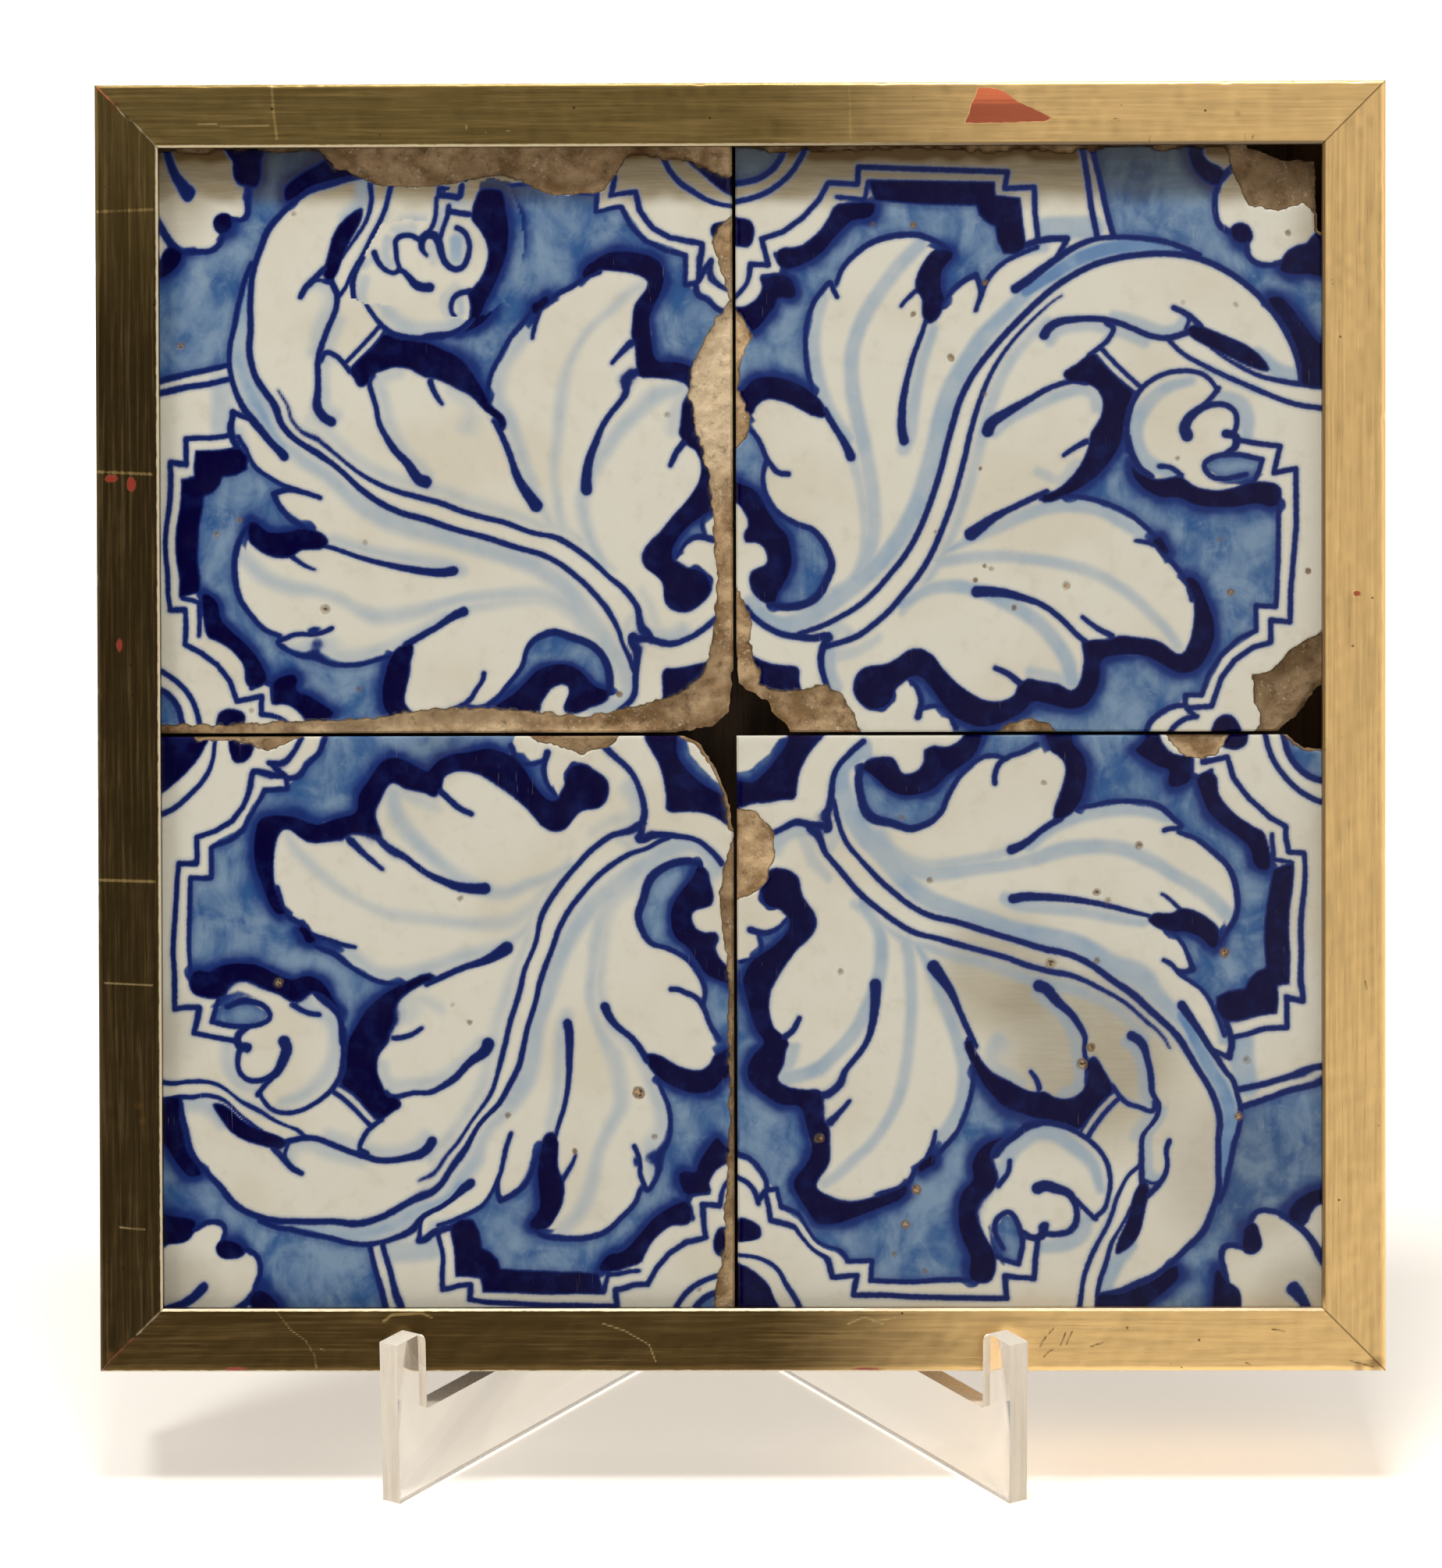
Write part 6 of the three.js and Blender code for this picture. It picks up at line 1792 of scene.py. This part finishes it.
@dataclass
class BackHardware:
    """What is fixed to the back of the panel: board, mortar, nails, turn buttons, hangers and screws."""

    axes: PanelAxes
    nodes: dict[str, bpy.types.Object]
    body: str = "framed_panel"
    slot_width: float = 0.7
    slot_depth: float = 0.5
    slot_length: float = 8.0
    # how each piece's name starts, the radius of its edges (none where it is round), and its slot
    edges: tuple[tuple[str, float, str], ...] = (
        ("bed_", 0.5, "mortar"), ("mounting_board", 0.6, "stained_plywood"), ("v_nail", 0.15, "steel"),
        ("turn_button", 0.5, "brass"), ("hanger_strap", 0.25, "steel"), ("hanger_ring", 0.0, "steel"),
        ("button_screw", 0.45, "steel"), ("hanger_screw", 0.45, "steel"))

    def build(self) -> None:
        """Dresses each piece."""
        finishes = {"steel": STEEL.build(), "brass": BRASS.build(), "mortar": SetMortar().build(),
                    "stained_plywood": StainedPlywood().build(self.axes)}
        for name, node in self.nodes.items():
            for start, round_by, slot in self.edges:
                if name.startswith(start):
                    self.dress(name, node, round_by, finishes[slot], slot)

    def dress(self, name: str, node: bpy.types.Object, round_by: float, finish: bpy.types.Material,
              slot: str) -> None:
        """Replaces a solid by its softened copy, or by a rounder one where it has no edges to soften.

        Args:
            name: The solid's name.
            node: The solid.
            round_by: The radius of its edges, in millimetres, or 0 where it is round.
            finish: Its material.
            slot: The material slot that it belongs to.
        """
        if round_by:
            piece = softened_copy(node, round_by)
            if "screw" in name:
                self.slot_head(piece)
            hand_over(piece, f"{name}_finished", node["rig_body"], slot, [finish], (name,), 30)
        else:
            piece = softened_copy(node, 0.01, 1)
            apply_modifier(piece, "SUBSURF", levels=2, render_levels=2)
            hand_over(piece, f"{name}_finished", node["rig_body"], slot, [finish], (name,), 60)

    def slot_head(self, piece: bpy.types.Object) -> None:
        """Cuts the driver's slot across a screw's head, turned another way on each screw.

        Args:
            piece: The screw.
        """
        inverse = self.axes.matrix().inverted()
        spots = np.array([inverse @ Vector(place) for place in places_of(piece)])
        x, y = spots[:, 0].mean(), spots[:, 1].mean()
        select_none()
        bpy.ops.mesh.primitive_cube_add(size=1)
        cutter = bpy.context.object
        box = places_of(cutter) * (self.slot_length, self.slot_width, 2 * self.slot_depth)
        put_places(cutter, box + (x, y, spots[:, 2].min()))
        angle = 20 + (x * 7 + y * 3) % 130
        turn = Matrix.Rotation(math.radians(angle), 4, "Z")
        shift = Matrix.Translation((x, y, 0))
        cutter.data.transform(self.axes.matrix() @ shift @ turn @ shift.inverted())
        apply_modifier(piece, "BOOLEAN", operation="DIFFERENCE", solver="EXACT", object=cutter)
        bpy.data.objects.remove(cutter)


@dataclass
class ClearEasel:
    """Two acrylic wings, hinged at the back."""

    nodes: dict[str, bpy.types.Object]
    polish: float = 0.45

    def build(self) -> None:
        """Dresses the wings and their hinges."""
        sheet = ClearAcrylic()
        finishes = [sheet.face(), sheet.edge()]
        brass = BRASS.build()
        for name, node in self.nodes.items():
            if name.startswith("easel_wing"):
                self.build_wing(name, node, finishes)
            elif name.startswith(("hinge_", "rivet_")):
                piece = softened_copy(node, 0.3)
                hand_over(piece, f"{name}_finished", node["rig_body"], "brass", [brass], (name,), 30)

    def build_wing(self, name: str, node: bpy.types.Object, finishes: list[bpy.types.Material]) -> None:
        """Polishes one wing's edges and gives its cut edge a finish of its own."""
        piece = softened_copy(node, self.polish)
        areas = np.array([face.area for face in piece.data.polygons])
        broad = piece.data.polygons[int(areas.argmax())].normal.copy()
        hand_over(piece, f"{name}_polished", node["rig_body"], "clear_acrylic", finishes, (name,), 30)
        # 0 is the clear face and 1 the cut edge
        for face in piece.data.polygons:
            face.material_index = 0 if abs(face.normal.dot(broad)) > 0.5 else 1


@dataclass(frozen=True)
class Lamp:
    """A square soft lamp: where it hangs and its side in metres, and its power in watts."""

    name: str
    place: tuple[float, float, float]
    side: float
    power: float


LAMPS = (
    Lamp("overhead", (0.02, -0.2, 1.5), 0.32, 10.0),
    Lamp("upper left", (-0.72, -0.25, 1.55), 0.3, 7.0),
    Lamp("right", (1.1, -1.3, 0.9), 0.9, 1.8),
    Lamp("left", (-1.5, -1.2, 1.1), 1.2, 4.2),
)


@dataclass
class Studio:
    """A pale floor and soft light, with the camera where the picture was taken from."""

    frame_width: int = 1848
    frame_height: int = 2009
    # in pixels
    focal: float = 8000.0
    # in millimetres
    camera_place: tuple[float, float, float] = (17.29, -1427.97, 577.98)
    # in degrees
    yaw: float = 0.888
    pitch: float = 16.328
    roll: float = -0.369
    sensor_width: float = 36.0
    # in metres
    sight: tuple[float, float] = (0.05, 50.0)
    floor_side: float = 8.0
    floor_gap: float = 0.0005
    aim: tuple[float, float, float] = (0, 0, 0.15)
    paper: str = "fbf7f1"
    warm_white: str = "fff6e8"
    daylight: str = "fffaf3"
    white: str = "ffffff"

    def build(self) -> None:
        """Makes the camera, the floor, the lamps and the world."""
        self.build_camera()
        self.build_floor()
        self.build_lamps()
        self.build_world()
        bpy.context.scene.view_settings.view_transform = "Standard"

    def build_camera(self) -> None:
        """Sets the camera up."""
        yaw, pitch, roll = (math.radians(a) for a in (self.yaw, self.pitch, self.roll))
        forward = Vector((-math.sin(yaw) * math.cos(pitch), math.cos(yaw) * math.cos(pitch),
                          -math.sin(pitch)))
        level = Vector((math.cos(yaw), math.sin(yaw), 0))
        upright = level.cross(forward)
        right = math.cos(roll) * level + math.sin(roll) * upright
        upright = -math.sin(roll) * level + math.cos(roll) * upright
        turned = Matrix((right, upright, -forward)).transposed().to_4x4()
        data = bpy.data.cameras.new("camera")
        data.sensor_width = self.sensor_width
        data.lens = self.focal / max(self.frame_width, self.frame_height) * self.sensor_width
        data.clip_start, data.clip_end = self.sight
        camera = bpy.data.objects.new("camera", data)
        camera.matrix_world = Matrix.Translation(Vector(self.camera_place) * MM) @ turned
        bpy.context.scene.collection.objects.link(camera)
        bpy.context.scene.camera = camera

    def build_floor(self) -> None:
        """Lays the floor, which shows white to the camera but keeps the object's shadow."""
        select_none()
        bpy.ops.mesh.primitive_plane_add(size=self.floor_side, location=(0, 0, -self.floor_gap))
        floor = bpy.context.object
        floor.name = "studio_floor"
        shader = Shader("white_paper")
        add = shader.add
        paper = add_node(shader.tree, "ShaderNodeBsdfDiffuse", {"Color": linear(self.paper)})
        # the floor's glow is weaker and warmer near the middle, fading out between 0.25 and 0.6 m: a painted
        # warm tint in the object's shadow there
        away = add_node(shader.tree, "ShaderNodeVectorMath", {0: shader.place},
                        operation="LENGTH").outputs["Value"]
        far = add(Node.RAMP, away, 0.25, 0.6)
        glow = add_node(shader.tree, "ShaderNodeEmission", {
            "Color": add(Node.MIX, far, self.warm_white, self.white),
            "Strength": add(Node.MULTIPLY_ADD, far, 0.6, 0.38)})
        both = add_node(shader.tree, "ShaderNodeAddShader", {0: paper.outputs[0], 1: glow.outputs[0]})
        path = add_node(shader.tree, "ShaderNodeLightPath").outputs
        seen = add(Node.MAXIMUM, path["Is Camera Ray"], path["Is Transmission Ray"])
        seen = add(Node.MAXIMUM, seen, path["Is Glossy Ray"])
        shown = add_node(shader.tree, "ShaderNodeMixShader",
                         {0: seen, 1: paper.outputs[0], 2: both.outputs[0]})
        add_node(shader.tree, "ShaderNodeOutputMaterial", {"Surface": shown.outputs[0]})
        floor.data.materials.append(shader.material)

    def build_lamps(self) -> None:
        """Hangs the soft lamps, aimed at the panel's middle."""
        for lamp in LAMPS:
            data = bpy.data.lights.new(lamp.name, "AREA")
            data.size, data.energy = lamp.side, lamp.power
            hung = bpy.data.objects.new(lamp.name, data)
            hung.location = lamp.place
            hung.rotation_mode = "QUATERNION"
            hung.rotation_quaternion = (Vector(self.aim) - hung.location).to_track_quat("-Z", "Y")
            bpy.context.scene.collection.objects.link(hung)

    def build_world(self) -> None:
        """Makes a white surround whose front is dark on the left and pale on the right."""
        world = bpy.data.worlds.new("studio")
        world.use_nodes = True
        tree = world.node_tree
        tree.nodes.clear()
        path = add_node(tree, "ShaderNodeLightPath").outputs
        way = add_node(tree, "ShaderNodeSeparateXYZ", {
            0: add_node(tree, "ShaderNodeTexCoord").outputs["Generated"]}).outputs
        # what the gilding and the glaze reflect: a step from dark to pale, evened out for soft light
        ahead = add_node(tree, "ShaderNodeMapRange", {
            "Value": way[0], "From Min": -0.1, "From Max": 0.14, "To Min": 0.06, "To Max": 0.74}).outputs[0]
        evened = add_node(tree, "ShaderNodeMath", {0: path["Is Diffuse Ray"], 1: 0.5}, operation="MULTIPLY")
        ahead = add_node(tree, "ShaderNodeMix", {0: evened.outputs[0], 2: ahead, 3: 0.4}, data_type="FLOAT")
        beside = add_node(tree, "ShaderNodeMapRange", {
            "Value": way[0], "From Min": -1.0, "From Max": -0.2, "To Min": 0.45, "To Max": 0.8}).outputs[0]
        beside = add_node(tree, "ShaderNodeMath", {0: beside, 1: path["Is Glossy Ray"]}, operation="MAXIMUM")
        front = add_node(tree, "ShaderNodeMapRange", {"Value": way[1], "From Min": -0.85, "From Max": -0.5})
        mixed = add_node(tree, "ShaderNodeMix", {
            0: front.outputs[0], 2: ahead.outputs[0], 3: beside.outputs[0]}, data_type="FLOAT")
        # soft light from the surround is weaker, so that the lamps' shadows keep their depth
        dimmed = add_node(tree, "ShaderNodeMath", {0: path["Is Diffuse Ray"], 1: -0.42, 2: 1.0},
                          operation="MULTIPLY_ADD")
        strength = add_node(tree, "ShaderNodeMath", {0: mixed.outputs[0], 1: dimmed.outputs[0]},
                            operation="MULTIPLY")
        lit = add_node(tree, "ShaderNodeBackground", {
            "Color": linear(self.daylight), "Strength": strength.outputs[0]})
        # the camera itself, and whoever looks through the acrylic, sees plain white
        white = add_node(tree, "ShaderNodeBackground", {"Color": linear(self.white), "Strength": 1.0})
        seen = add_node(tree, "ShaderNodeMath", {0: path["Is Camera Ray"], 1: path["Is Transmission Ray"]},
                        operation="MAXIMUM")
        shown = add_node(tree, "ShaderNodeMixShader", {
            0: seen.outputs[0], 1: lit.outputs[0], 2: white.outputs[0]})
        add_node(tree, "ShaderNodeOutputWorld", {"Surface": shown.outputs[0]})
        bpy.context.scene.world = world


def panel_axes(side: float = 304.8, depth: float = 30.0, lean: float = 15.0) -> PanelAxes:
    """Finds the panel's axes from where its rails stand.

    Args:
        side: The frame's outer side, in millimetres.
        depth: How deep the rails are.
        lean: How far the panel leans back, in degrees.

    Returns:
        The axes.
    """
    angle = math.radians(lean)
    low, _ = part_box("rail_bottom")
    left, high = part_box("rail_top")
    base_z = low.z + depth * MM * math.sin(angle)
    base_y = high.y - (side * math.sin(angle) + depth * math.cos(angle)) * MM
    centre = Vector(((left.x + high.x) / 2, base_y + side / 2 * MM * math.sin(angle),
                     base_z + side / 2 * MM * math.cos(angle)))
    return PanelAxes(centre, angle)


def main() -> None:
    """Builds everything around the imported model."""
    logging.basicConfig(level=logging.INFO, format="%(message)s")
    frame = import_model()
    axes = panel_axes()
    log.info("panel centre %s", tuple(round(v, 5) for v in axes.centre))
    Studio().build()
    TilePanel(axes).build()
    GiltFrame(axes).build()
    BackHardware(axes, frame["nodes"]).build()
    ClearEasel(frame["nodes"]).build()


if __name__ == "__main__":
    main()
